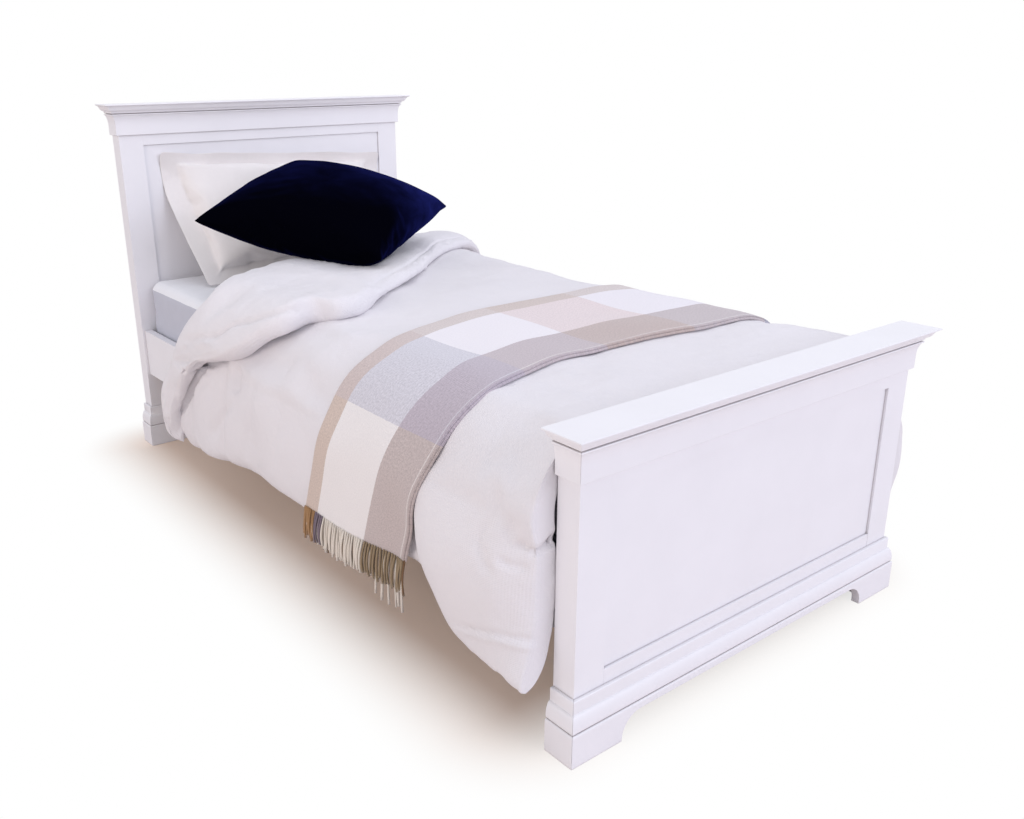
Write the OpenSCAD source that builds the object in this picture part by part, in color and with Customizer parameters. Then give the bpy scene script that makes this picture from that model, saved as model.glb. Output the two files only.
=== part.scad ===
// Single bed with panelled headboard and footboard, side rails, slats, mattress and bedding.
// Millimetres, +Z up, the footboard toward -Y and the headboard toward +Y.
// The origin is on the floor under the middle of the bed.

/* [Mattress] */
// Width of the mattress
mattress_w = 900; // [750:5:1100]
// Length of the mattress
mattress_l = 1900; // [1700:5:2100]
// Thickness of the mattress
mattress_h = 200; // [150:5:240]
// Rounding of the mattress edges
mattress_edge_r = 35; // [20:1:45]
// Thickness of the fitted sheet
sheet_t = 1; // [0.6:0.1:2]

/* [Boards] */
// Height of the headboard from the floor to the top of its cap
head_h = 1058; // [900:1:1250]
// Height of the footboard from the floor to the top of its cap
foot_h = 620; // [580:1:700]
// Width of a corner post across the bed
post_w = 71.5; // [60:0.5:90]
// Depth of a corner post along the bed
post_d = 52; // [48:1:70]
// Thickness of the top and bottom rails of a board
board_rail_t = 34; // [28:1:44]
// From the top of a cap down to the edge of the panel
panel_drop = 119; // [100:1:150]
// Height of the bottom rail's upper edge above the floor
panel_foot = 157; // [145:1:190]
// Thickness of a panel
panel_t = 12; // [9:1:15]
// Depth of the panel's face behind the posts' faces
panel_recess = 6; // [4:0.5:9]
// Depth of the grooves that hold a panel
groove_depth = 8; // [6:0.5:12]

/* [Mouldings] */
// Height of the moulded cap
cap_h = 26; // [24:0.5:34]
// How far the cap stands out past the posts
cap_over = 40; // [34:1:48]
// Height of the cornice under the cap
cornice_h = 62.5; // [56:0.5:72]
// How far the top of the cornice stands out past the posts
cornice_out = 17.5; // [14:0.5:22]
// How far the flat lower part of the cornice stands out
cornice_flat = 7.8; // [5:0.2:10]
// Height of the plinth moulding
plinth_h = 60; // [50:1:70]
// How far the foot of the plinth moulding stands out
plinth_out = 17.2; // [14:0.2:18.4]
// How far the flat upper part of the plinth moulding stands out
plinth_flat = 7.5; // [5:0.5:10]
// Height of the base moulding with the bracket feet
base_h = 67; // [62:1:75]
// How far the base stands out past the posts
base_out = 19; // [18.6:0.2:24]
// Width of a bracket foot at the floor
bracket_foot_w = 125; // [110:1:160]
// Height of the opening between the bracket feet
arch_h = 51; // [40:1:54]
// Radius of the opening's upper corners
arch_r = 46; // [25:1:48]

/* [Side rails and slats] */
// Thickness of a side rail
rail_t = 22; // [20:0.5:30]
// Height of a side rail
rail_h = 141; // [136:1:170]
// Height of the side rails' lower edge above the floor
rail_z = 236; // [200:1:260]
// How far a side rail is set in from the outer face of the posts
rail_inset = 8; // [4:0.5:14]
// Gap between the mattress and each side rail
side_gap = 7.5; // [5:0.5:15]
// Gap between the mattress and each board
end_gap = 5; // [2:0.5:12]
// Height of the slats' top above the side rails' lower edge
slat_seat = 94; // [80:1:105]
// Number of slats
slat_count = 14; // [10:1:15]
// Width of a slat
slat_w = 70; // [55:1:80]
// Thickness of a slat
slat_t = 18; // [15:1:22]
// Width of the ledger strip that carries the slats
ledger_w = 25; // [20:1:35]
// Height of the ledger strip
ledger_h = 35; // [28:1:45]
// Number of screws in a ledger strip
ledger_screws_each = 6; // [4:1:9]
// Width of the webbing that ties the slats
webbing_w = 38; // [25:1:50]
// Thickness of the webbing
webbing_t = 1.6; // [1:0.1:2.5]

/* [Fittings] */
// Height of a bed rail plate
plate_h = 120; // [112:1:130]
// Width of a bed rail plate
plate_w = 16; // [14:0.5:18]
// Thickness of a bed rail plate
plate_t = 2.5; // [2:0.1:3]
// Thickness of the hooks on a rail plate
hook_t = 4; // [3:0.5:5]
// Height of a hook
hook_h = 26; // [20:1:28]
// Diameter of a screw shank
screw_d = 4; // [3:0.5:5]
// Diameter of a screw head
screw_head_d = 8; // [7:0.5:9]
// Diameter of a cap dowel
dowel_d = 8; // [6:1:10]
// Length of a cap dowel
dowel_l = 30; // [24:1:36]

/* [Bedding] */
// Thickness of one layer of the duvet
duvet_t = 50; // [30:1:60]
// Height of the duvet's left hem above the floor
duvet_hem_left = 135; // [110:5:220]
// Height of the duvet's right hem above the floor
duvet_hem_right = 85; // [70:5:220]
// Distance from the footboard to the fold at the duvet's head end
duvet_fold_y = 1515; // [1300:5:1560]
// Depth of the folded-back flap at its deepest, on the left
flap_depth = 490; // [250:5:540]
// Thickness of the folded-back flap
flap_t = 55; // [30:1:65]
// Distance from the footboard to the middle of the throw
throw_y = 545; // [400:5:800]
// Width of the folded throw
throw_w = 420; // [300:5:560]
// Thickness of the folded throw
throw_t = 10; // [6:0.5:16]
// Height of the throw's ends above the floor
throw_hem = 205; // [150:5:300]
// Length of the throw's fringe
fringe_l = 85; // [50:1:120]
// Width of the pillow with its flange
pillow_w = 800; // [650:5:860]
// Height of the pillow with its flange
pillow_h = 430; // [380:5:500]
// Thickness of the pillow
pillow_t = 180; // [110:5:210]
// Width of the pillow's flange
flange_w = 55; // [30:1:65]
// Backward lean of the pillow in degrees
pillow_lean = 30; // [15:1:35]
// Side of the square cushion
cushion_w = 520; // [400:5:560]
// Thickness of the square cushion
cushion_t = 190; // [120:5:200]
// Distance from the pillow's back to the upper corner of the square cushion
cushion_back = 107.5; // [90:0.5:160]
// How far the square cushion lies left of the middle
cushion_left = 58; // [-100:2:100]

/* [Hidden] */
$fn = 48;
fit_gap = 0.2;
mitre_gap = 0.2;
soft_gap = 0.4;
rest_gap = 0.3;
tenon_l = 40;
tenon_t = 14;
tenon_shoulder = 10;
pocket_d = 16;
cut = 1;

half_w = mattress_w / 2 + side_gap + rail_t + rail_inset;
rail_out_x = half_w - rail_inset;
rail_in_x = rail_out_x - rail_t;
rail_mid_x = rail_out_x - rail_t / 2;
interior_l = mattress_l + 2 * end_gap;
overall_l = cap_over + 2 * post_d + interior_l;
foot_y = cap_over - overall_l / 2;
head_y = foot_y + post_d + interior_l;
rails_y0 = foot_y + post_d;
slat_top = rail_z + slat_seat;
ledger_top = slat_top - slat_t;
bottom_rail_z = arch_h + 4;
plate_z = rail_z + (rail_h - plate_h) / 2;
slat_len = 2 * (rail_in_x - 1.5);
slat_pitch = (interior_l - 2 * slat_w) / (slat_count - 0.6);
slat_y0 = rails_y0 + (interior_l - slat_pitch * (slat_count - 1)) / 2;
sheet_gap = 0.2;
mattress_z = slat_top + sheet_t + sheet_gap;
bed_top = mattress_z + mattress_h + sheet_gap + sheet_t;

paint = "#f1eff2";
pine = "#d9b98a";
steel = "#8f9398";
zinc = "#b9bcc0";

function slat_name(i) = str("slat_", i < 10 ? "0" : "", i);
function slat_y(i) = slat_y0 + (i - 1) * slat_pitch;

// Curves and small helpers

function smooth(a, b, x) =
    let (t = min(1, max(0, (x - a) / (b - a)))) t * t * (3 - 2 * t);

function bell(x, middle, spread) = exp(-pow((x - middle) / spread, 2));

// A quarter curve from [x0, z0], where it runs upright, to [x1, z1], where it runs level
function cove(x0, z0, x1, z1, steps = 8) =
    [for (i = [0 : steps]) let (a = 90 * i / steps)
        [x0 + (x1 - x0) * (1 - cos(a)), z0 + (z1 - z0) * sin(a)]];

// A shallow S between two corners, hollow above and full below
function ogee(x0, z0, x1, z1, swell, steps = 10) =
    [for (i = [0 : steps]) let (t = i / steps)
        [x0 + (x1 - x0) * t + swell * sin(360 * t), z0 + (z1 - z0) * t - swell * sin(360 * t)]];

module side(right) {
    if (right) children();
    else mirror([1, 0, 0]) children();
}

module both_sides() {
    side(true) children();
    side(false) children();
}

// A block round the posts of a board whose outline at each height follows a profile on the
// front and on both sides, with a flush back. The profile is a list of [projection, height].
module wrapped(profile, z0) {
    front = concat([for (p = profile) [-p[0], z0 + p[1]]],
        [[post_d, z0 + profile[len(profile) - 1][1]], [post_d, z0 + profile[0][1]]]);
    right = [for (p = profile) [half_w + p[0], z0 + p[1]]];
    left = [for (i = [len(profile) - 1 : -1 : 0]) [-half_w - profile[i][0], z0 + profile[i][1]]];
    reach = 2 * half_w;
    intersection() {
        translate([-reach, 0, 0]) rotate([90, 0, 90]) linear_extrude(2 * reach) polygon(front);
        translate([0, reach, 0]) rotate([90, 0, 0]) linear_extrude(2 * reach)
            polygon(concat(right, left));
    }
}

// The same, hollowed to three mitred lengths planted on the board
module planted(profile, z0) {
    h = profile[len(profile) - 1][1];
    difference() {
        wrapped(profile, z0);
        translate([-half_w, 0, z0 - cut]) cube([2 * half_w, post_d + cut, h + 2 * cut]);
        both_sides() translate([half_w, 0, z0 - cut]) rotate([0, 0, -45])
            translate([-cut, -mitre_gap / 2, 0]) cube([2 * base_out, mitre_gap, h + 2 * cut]);
    }
}

// Countersunk screw with its head's face at the origin, pointing down
module screw(l) {
    rotate_extrude() polygon([[0, 0], [screw_head_d / 2, 0], [screw_head_d / 2, -0.5],
        [screw_d / 2, -2.6], [screw_d / 2, -l + 3], [0.4, -l], [0, -l]]);
}

// The hole that takes it
module screw_hole(l) {
    rotate_extrude() polygon([[0, cut], [screw_head_d / 2 + fit_gap, cut],
        [screw_head_d / 2 + fit_gap, -0.5 - fit_gap], [screw_d / 2 + fit_gap, -2.6 - fit_gap],
        [screw_d / 2 + fit_gap, -l - fit_gap], [0, -l - fit_gap]]);
}

// Moulding profiles, as [projection, height]

cap_profile = concat(
    [[0, 0], [cornice_out - 2, 0], [cornice_out, 1.5], [cornice_out + 0.6, 5.4]],
    ogee(cornice_out + 2, 5.8, cap_over - 1.4, cap_h - 3.4, 1.2),
    [[cap_over, cap_h - 2.8], [cap_over, cap_h - 0.8], [cap_over - 0.8, cap_h], [0, cap_h]]
);
cornice_profile = concat(
    [[0, 0], [cornice_flat - 0.8, 0], [cornice_flat, 0.8]],
    cove(cornice_flat, cornice_h / 2 - 4, cornice_out, cornice_h - 5),
    [[cornice_out + 0.2, cornice_h - 3.6], [cornice_out - 0.6, cornice_h - 2.4],
        [cornice_out - 2.2, cornice_h - 1.9], [cornice_flat + 1.8, cornice_h - 1],
        [cornice_flat + 1.8, cornice_h], [0, cornice_h]]
);
plinth_profile = concat(
    [[0, 0], [plinth_out - 3.2, 0], [plinth_out - 3.2, 1.8], [plinth_out - 0.2, 2.8]],
    [for (p = cove(plinth_flat, 0, plinth_out, 28)) [plinth_out + plinth_flat - p[0], 6 + p[1]]],
    [[plinth_flat, plinth_h - 1.5], [plinth_flat - 1.5, plinth_h], [0, plinth_h]]
);
base_profile = [[0, 0], [base_out, 0], [base_out, base_h - 3], [base_out - 0.8, base_h - 1],
    [base_out - 2.6, base_h], [0, base_h]];

// Parts of a board, in its own frame: the posts' faces at y = 0, the floor at z = 0

function top_rail_z(h) = h - panel_drop;

// Places across the bed of the dowels that hold a cap
dowel_x = [-half_w * 0.7, 0, half_w * 0.7];

// Mortise for a plate, in a frame with +Y into the wood
module plate_mortise() {
    translate([-plate_w / 2 - fit_gap, -cut, -fit_gap])
        cube([plate_w + 2 * fit_gap, plate_t + fit_gap + cut, plate_h + 2 * fit_gap]);
}

// What a post loses to its plate, the hooks behind it and its screws
module plate_recess(at_back) {
    translate([rail_mid_x, at_back ? post_d : 0, plate_z]) mirror([0, at_back ? 1 : 0, 0]) {
        plate_mortise();
        for (z = hook_zs) translate([-hook_t / 2 - 1, 0, z - 1])
            cube([hook_t + 2, pocket_d, hook_h + hook_drop + 3]);
        for (z = plate_screw_zs) translate([0, -cut, z]) rotate([-90, 0, 0])
            cylinder(d = screw_d + 2 * fit_gap, h = post_screw_l + cut + 2 * fit_gap);
    }
}

module post(h, rail_at_back) {
    difference() {
        translate([half_w - post_w, 0, 0]) cube([post_w, post_d, h - cap_h]);
        translate([half_w - post_w - cut, (board_rail_t - tenon_t) / 2 - fit_gap, 0]) {
            translate([0, 0, top_rail_z(h) + tenon_shoulder - fit_gap])
                cube([tenon_l + cut + 1, tenon_t + 2 * fit_gap,
                    panel_drop - cap_h - 2 * tenon_shoulder + 2 * fit_gap]);
            translate([0, 0, bottom_rail_z + tenon_shoulder - fit_gap])
                cube([tenon_l + cut + 1, tenon_t + 2 * fit_gap,
                    panel_foot - bottom_rail_z - 2 * tenon_shoulder + 2 * fit_gap]);
        }
        translate([half_w - post_w - cut, panel_recess - fit_gap, panel_foot - groove_depth])
            cube([groove_depth + cut, panel_t + 2 * fit_gap,
                top_rail_z(h) - panel_foot + 2 * groove_depth]);
        plate_recess(rail_at_back);
    }
}

module board_rail(z, height, groove_z) {
    length = 2 * (half_w - post_w);
    difference() {
        union() {
            translate([-length / 2, 0, z]) cube([length, board_rail_t, height]);
            translate([-length / 2 - tenon_l, (board_rail_t - tenon_t) / 2, z + tenon_shoulder])
                cube([length + 2 * tenon_l, tenon_t, height - 2 * tenon_shoulder]);
        }
        translate([-length / 2 - tenon_l - cut, panel_recess - fit_gap, groove_z])
            cube([length + 2 * tenon_l + 2 * cut, panel_t + 2 * fit_gap, groove_depth + cut]);
    }
}

module top_rail(h) {
    difference() {
        board_rail(top_rail_z(h), panel_drop - cap_h, top_rail_z(h) - cut);
        for (x = dowel_x) translate([x, board_rail_t / 2, h - cap_h - dowel_l * 0.6 - fit_gap])
            cylinder(d = dowel_d + fit_gap, h = dowel_l);
    }
}

module bottom_rail() {
    board_rail(bottom_rail_z, panel_foot - bottom_rail_z, panel_foot - groove_depth);
}

module panel(h) {
    w = 2 * (half_w - post_w + groove_depth) - 1;
    z0 = panel_foot - groove_depth + 0.5;
    translate([-w / 2, panel_recess, z0]) cube([w, panel_t, top_rail_z(h) - z0 + groove_depth - 0.5]);
}

module cap(h) {
    difference() {
        wrapped(cap_profile, h - cap_h);
        for (x = dowel_x) translate([x, board_rail_t / 2, h - cap_h - cut])
            cylinder(d = dowel_d + fit_gap, h = cut + dowel_l * 0.4 + fit_gap);
    }
}

module cap_dowel_row(h) {
    for (x = dowel_x) translate([x, board_rail_t / 2, h - cap_h - dowel_l * 0.6])
        cylinder(d = dowel_d, h = dowel_l);
}

module cornice(h) {
    planted(cornice_profile, h - cap_h - cornice_h);
}

module plinth_mould() {
    planted(plinth_profile, base_h);
}

// Base moulding, cut away between two bracket feet with round upper corners
module base() {
    open_x = half_w + base_out - bracket_foot_w;
    difference() {
        planted(base_profile, 0);
        translate([0, cut, 0]) rotate([90, 0, 0]) linear_extrude(base_out + 2 * cut) {
            translate([-open_x, -cut]) square([2 * open_x, arch_h - arch_r + cut]);
            translate([arch_r - open_x, -cut]) square([2 * (open_x - arch_r), arch_h + cut]);
            translate([arch_r - open_x, arch_h - arch_r]) circle(arch_r);
            translate([open_x - arch_r, arch_h - arch_r]) circle(arch_r);
        }
    }
}

module at_foot() {
    translate([0, foot_y, 0]) children();
}

module at_head() {
    translate([0, head_y, 0]) children();
}

module foot_post_left() { color(paint) at_foot() side(false) post(foot_h, true); }
module foot_post_right() { color(paint) at_foot() side(true) post(foot_h, true); }
module foot_top_rail() { color(paint) at_foot() top_rail(foot_h); }
module foot_bottom_rail() { color(paint) at_foot() bottom_rail(); }
module foot_panel() { color(paint) at_foot() panel(foot_h); }
module foot_cap() { color(paint) at_foot() cap(foot_h); }
module foot_cornice() { color(paint) at_foot() cornice(foot_h); }
module foot_plinth_mould() { color(paint) at_foot() plinth_mould(); }
module foot_base() { color(paint) at_foot() base(); }
module head_post_left() { color(paint) at_head() side(false) post(head_h, false); }
module head_post_right() { color(paint) at_head() side(true) post(head_h, false); }
module head_top_rail() { color(paint) at_head() top_rail(head_h); }
module head_bottom_rail() { color(paint) at_head() bottom_rail(); }
module head_panel() { color(paint) at_head() panel(head_h); }
module head_cap() { color(paint) at_head() cap(head_h); }
module head_cornice() { color(paint) at_head() cornice(head_h); }
module head_plinth_mould() { color(paint) at_head() plinth_mould(); }
module head_base() { color(paint) at_head() base(); }

// Side rails, with a mortise for the hook plate in each end

hook_drop = 7;
screw_clear = 6;
hook_zs = [plate_h / 2 - screw_clear - hook_h - hook_drop - 2, plate_h / 2 + screw_clear];
plate_screw_zs = [9, plate_h / 2, plate_h - 9];
post_screw_l = 25;
rail_screw_l = 40;
ledger_screw_l = ledger_w + 14;
slat_screw_l = slat_t + 16;

function ledger_screw_y(i) = rails_y0 + interior_l * (i + 0.5) / ledger_screws_each;
ledger_mid_z = ledger_top - ledger_h / 2;

// Frames at the four rail ends: the origin on the joint face, +Y into the rail
module rail_ends() {
    both_sides() {
        translate([rail_mid_x, rails_y0, plate_z]) children();
        translate([rail_mid_x, head_y, plate_z]) mirror([0, 1, 0]) children();
    }
}

module side_rail() {
    difference() {
        translate([rail_in_x, rails_y0, rail_z]) cube([rail_t, interior_l, rail_h]);
        for (end = [0, 1]) translate([rail_mid_x, end ? head_y : rails_y0, plate_z])
            mirror([0, end, 0]) {
                plate_mortise();
                for (z = plate_screw_zs) translate([0, -cut, z]) rotate([-90, 0, 0])
                    cylinder(d = screw_d + 2 * fit_gap, h = rail_screw_l + cut + fit_gap);
            }
        for (i = [0 : ledger_screws_each - 1])
            translate([rail_in_x - ledger_w, ledger_screw_y(i), ledger_mid_z]) rotate([0, 90, 0])
            cylinder(d = screw_d + 2 * fit_gap, h = ledger_screw_l + fit_gap);
    }
}

module slat_ledger() {
    difference() {
        translate([rail_in_x - ledger_w, rails_y0 + 2, ledger_top - ledger_h])
            cube([ledger_w, interior_l - 4, ledger_h]);
        for (i = [0 : ledger_screws_each - 1])
            translate([rail_in_x - ledger_w, ledger_screw_y(i), ledger_mid_z]) rotate([0, -90, 0])
            screw_hole(ledger_screw_l);
        for (i = [1, slat_count]) translate([rail_in_x - ledger_w / 2, slat_y(i), slat_top])
            screw_hole(slat_screw_l);
    }
}

// Rail plate: flush in the rail's end, with two hooks that drop behind the post's plate
module rail_hook_plate() {
    difference() {
        translate([-plate_w / 2, 0, 0]) cube([plate_w, plate_t, plate_h]);
        for (z = plate_screw_zs) translate([0, 0, z]) rotate([90, 0, 0]) screw_hole(rail_screw_l);
    }
    for (z = hook_zs) translate([-hook_t / 2, 0, z]) rotate([90, 0, 90]) linear_extrude(hook_t)
        polygon([[0, hook_drop], [0, hook_h], [-plate_t - 5, hook_h], [-plate_t - 7.5, hook_h - 3],
            [-plate_t - 7.5, 2], [-plate_t - 6, 0], [-plate_t - 0.4, 0],
            [-plate_t - 0.4, hook_drop]]);
}

// Post plate: flush in the post, with a slot for each hook
module post_keeper_plate() {
    difference() {
        translate([-plate_w / 2, -plate_t, 0]) cube([plate_w, plate_t, plate_h]);
        for (z = hook_zs) translate([-hook_t / 2 - 0.4, -plate_t - cut, z + hook_drop - 0.3])
            cube([hook_t + 0.8, plate_t + 2 * cut, hook_h + 1]);
        for (z = plate_screw_zs) translate([0, 0, z]) rotate([-90, 0, 0]) screw_hole(post_screw_l);
    }
}

module side_rail_left() { color(paint) side(false) side_rail(); }
module side_rail_right() { color(paint) side(true) side_rail(); }
module slat_ledger_left() { color(pine) side(false) slat_ledger(); }
module slat_ledger_right() { color(pine) side(true) slat_ledger(); }
module rail_hook_plates() { color(steel) rail_ends() rail_hook_plate(); }
module post_keeper_plates() { color(steel) rail_ends() post_keeper_plate(); }

module plate_screws() {
    color(zinc) rail_ends() for (z = plate_screw_zs) translate([0, 0, z]) {
        translate([0, 0.3, 0]) rotate([90, 0, 0]) screw(rail_screw_l);
        translate([0, -0.3, 0]) rotate([-90, 0, 0]) screw(post_screw_l);
    }
}

module ledger_screws() {
    color(zinc) both_sides() for (i = [0 : ledger_screws_each - 1])
        translate([rail_in_x - ledger_w, ledger_screw_y(i), ledger_mid_z]) rotate([0, -90, 0])
        screw(ledger_screw_l);
}

module slat_screws() {
    color(zinc) both_sides() for (i = [1, slat_count])
        translate([rail_in_x - ledger_w / 2, slat_y(i), slat_top]) screw(slat_screw_l);
}

module cap_dowels() {
    color(pine) {
        at_foot() cap_dowel_row(foot_h);
        at_head() cap_dowel_row(head_h);
    }
}

// One slat, with its long edges eased; the end slats are screwed to the ledgers
module slat(i) {
    color(pine) difference() {
        translate([-slat_len / 2, slat_y(i), slat_top - slat_t]) rotate([90, 0, 90])
            linear_extrude(slat_len) polygon([[-slat_w / 2, 2], [2 - slat_w / 2, 0],
                [slat_w / 2 - 2, 0], [slat_w / 2, 2], [slat_w / 2, slat_t - 2],
                [slat_w / 2 - 2, slat_t], [2 - slat_w / 2, slat_t], [-slat_w / 2, slat_t - 2]]);
        if (i == 1 || i == slat_count) both_sides()
            translate([rail_in_x - ledger_w / 2, slat_y(i), slat_top]) screw_hole(slat_screw_l);
    }
}

module slat_webbing() {
    y0 = slat_y(1) - slat_w * 0.3;
    y1 = slat_y(slat_count) + slat_w * 0.3;
    color("#cfc8b8") both_sides() translate([mattress_w * 0.24, y0, ledger_top - webbing_t])
        cube([webbing_w, y1 - y0, webbing_t]);
}

// Mattress and sheet: a block with rounded edges, as the common part of three extrusions

module round_rect(w, l, r) {
    translate([-w / 2 + r, -l / 2]) square([w - 2 * r, l]);
    translate([-w / 2, -l / 2 + r]) square([w, l - 2 * r]);
    for (x = [r - w / 2, w / 2 - r], y = [r - l / 2, l / 2 - r]) translate([x, y]) circle(r);
}

// grow is how far a cover stands outside the mattress
module mattress_block(grow) {
    w = mattress_w + 2 * grow;
    l = mattress_l + 2 * grow;
    h = mattress_h + 2 * grow;
    r = mattress_edge_r + grow;
    translate([0, rails_y0 + interior_l / 2, mattress_z + mattress_h / 2]) intersection() {
        rotate([90, 0, 90]) translate([0, 0, -w]) linear_extrude(2 * w) round_rect(l, h, r);
        rotate([90, 0, 0]) translate([0, 0, -l]) linear_extrude(2 * l) round_rect(w, h, r);
        translate([0, 0, -h]) linear_extrude(2 * h) round_rect(w, l, r * 1.6);
    }
}

module mattress() {
    color("#f4f2ee") mattress_block(0);
}

// Fitted sheet: drawn over the top and sides and turned under, open beneath the mattress
module fitted_sheet() {
    turned_under = 70;
    color("#f3f3f8") difference() {
        mattress_block(sheet_gap + sheet_t);
        mattress_block(sheet_gap);
        translate([0, rails_y0 + interior_l / 2, 0]) linear_extrude(mattress_z + sheet_t)
            round_rect(mattress_w - 2 * turned_under, mattress_l - 2 * turned_under, 40);
    }
}

// A closed skin between two grids of points with the same rows and columns. The outer grid
// lies on the side that the rows' and columns' right-hand product points to.
module skin(outer, inner) {
    n = len(outer);
    m = len(outer[0]);
    k = n * m;
    points = concat([for (row = outer) each row], [for (row = inner) each row]);
    quads = concat(
        [for (i = [0 : n - 2], j = [0 : m - 2])
            [i * m + j, i * m + j + 1, (i + 1) * m + j + 1, (i + 1) * m + j]],
        [for (i = [0 : n - 2], j = [0 : m - 2])
            [k + i * m + j, k + (i + 1) * m + j, k + (i + 1) * m + j + 1, k + i * m + j + 1]],
        [for (i = [0 : n - 2]) [i * m, (i + 1) * m, k + (i + 1) * m, k + i * m]],
        [for (i = [0 : n - 2]) let (a = i * m + m - 1) [a, k + a, k + a + m, a + m]],
        [for (j = [0 : m - 2]) [j, k + j, k + j + 1, j + 1]],
        [for (j = [0 : m - 2]) let (a = (n - 1) * m + j) [a, a + 1, k + a + 1, k + a]]
    );
    polyhedron(points, [for (q = quads) each [[q[0], q[1], q[2]], [q[0], q[2], q[3]]]]);
}

// Filled pads. u and v run from -1 to 1 over the pad; the sides draw in between the corners
// and the crown falls to the seam, past which a flange runs out flat.
function pad_xy(w, h, draw, u, v) = [
    w / 2 * u * (1 - draw * u * u * (1 - v * v)),
    h / 2 * v * (1 - draw * v * v * (1 - u * u))
];
function crown(a) = pow(max(0, 1 - pow(abs(a), 2.6)), 0.62);
function pad_z(t, u, v) = t / 2 * crown(u) * crown(v);
pad_edge = 1.5;

// Even steps from -1 to 1, closer together toward both ends
function eased_steps(n) = [for (i = [0 : n]) let (a = 2 * i / n - 1) a * (1.28 - 0.28 * a * a)];

function past_seam(a, size, seam) = a / (1 - 2 * seam / size);
function pad_height(w, h, t, seam, pucker, u, v) =
    let (a = past_seam(u, w, seam), b = past_seam(v, h, seam))
    pad_edge + (abs(a) < 1 && abs(b) < 1
        ? pad_z(t, a, b) * (1 - pucker * pow(abs(a * b), 3) * pow(sin(900 * (a - b)), 2)) : 0);

// One face of a pad as a grid of points. up is 1 for the upper face and -1 for the lower.
function pad_grid(w, h, t, seam, draw, n, pucker, up) =
    [for (v = eased_steps(n[1])) [for (u = eased_steps(n[0])) let (p = pad_xy(w, h, draw, u, v))
        [p[0], p[1], up * pad_height(w, h, t, seam, pucker, u, v)]]];

// Duvet. It is described by q across the bed: -3 at the left hem, -2 to -1 round the left
// shoulder, -1 to 1 over the mattress, and the same to 3 at the right hem, and by y, the
// distance from the footboard. The throw shares its rows and columns, so that it lies on it.

drape_x = rail_out_x + 15;
drape_top = mattress_w / 2 - 25;
shoulder_w = drape_x - drape_top;
shoulder_h = 95;
under_z = bed_top + soft_gap;
foot_gap = 4;
foot_tuck = 70;

// Heights of the hems, by the share of the way from the footboard to the fold
function hem_z(q, y) = let (s = y / duvet_fold_y) q < 0
    ? duvet_hem_left + duvet_t * (1.4 * bell(s, 0.28, 0.09) + 1.2 * bell(s, 0.58, 0.23)
        - 0.76 * bell(s, 0.06, 0.09))
    : duvet_hem_right + duvet_t * (0.2 * sin(1360 * s) - bell(s, 0, 0.073));

// Folds of the hanging part, which swells out most near the foot, and more on the right
function billow(q, f, y) = let (s = y / duvet_fold_y)
    duvet_t * (sin(180 * pow(f, 0.8)) * (0.4 + 0.84 * bell(s, 0.09, 0.08)
            + (q > 0 ? 0.6 * bell(s, 0.03, 0.06) : 0))
        + f * (1 - bell(s, 0, 0.04)) * (0.2 + 0.18 * sin(2200 * s) + 0.6 * smooth(0.85, 1, s)));

// Underside of the duvet as [x, z, angle of the outward normal]
function drape(q, y) = let (
    m = abs(q), f = m - 2, a = 90 * min(1, max(0, m - 1)),
    fall = under_z - shoulder_h - hem_z(q, y),
    x = drape_top * min(1, m) + shoulder_w * sin(a) + (f > 0 ? billow(q, f, y) : 0),
    z = under_z - shoulder_h * (1 - cos(a)) - (f > 0 ? f * fall : 0),
    lean = atan2(shoulder_h * sin(a), shoulder_w * cos(a))
) [sign(q) * x, z, sign(q) * lean];

// The fold is pulled toward the foot at the left shoulder and runs back toward the right
function fold_y(q) = duvet_fold_y * (1 + 0.06 * smooth(-0.6, 1.1, q) - 0.09 * bell(q, -1.3, 0.75)
    + 0.01 * smooth(-2.2, -3, q));
function flap_share(q) = smooth(1.5, -0.9, q) * smooth(-2.25, -1.6, q);
function flap_on(q) = smooth(-2.3, -2.1, q) * (1 - smooth(1.2, 1.9, q));
function flap_y(q) = fold_y(q) - 60 - (flap_depth - 60) * flap_share(q);

// Thickness above the underside
function puff(q, y) = let (s = y / duvet_fold_y) duvet_t
    * (0.93 + 0.07 * cos(1270 * s) * cos(180 * q) * smooth(0.7, 0.6, s))
    * (1 - 0.72 * smooth(2.82, 3, abs(q))) * (0.4 + 0.6 * smooth(0, foot_tuck, y));
function stack(q, y) = puff(q, y) + (y > flap_y(q) ? flap_t * flap_on(q) : 0);

// Round nose at the fold: how far the two faces close in on each other, 0 to 1
function nose(q, y) = let (r = stack(q, y) / 2, d = (y - fold_y(q) + r) / r)
    d <= 0 ? 0 : 1 - sqrt(1 - min(0.94, d * d));

// The point that stands a distance up from the underside, square to it
function above(q, y, up) = let (p = drape(q, y))
    [p[0] + up * sin(p[2]), rails_y0 + y, p[1] + up * cos(p[2])];

// Where the throw ends, as q, and its edges, from t = 0 at the foot side to 1
function throw_end(side) = side * (2 + min(0.95, (under_z - shoulder_h - throw_hem)
    / (under_z - shoulder_h - hem_z(side, throw_y))));
function throw_line(q, t) = throw_y + throw_w * (t - 0.5 - 0.21 * bell(abs(q), 1.5, 0.8));

function spread(a, b, n) = [for (i = [0 : n - 1]) a + (b - a) * i / n];

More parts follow.
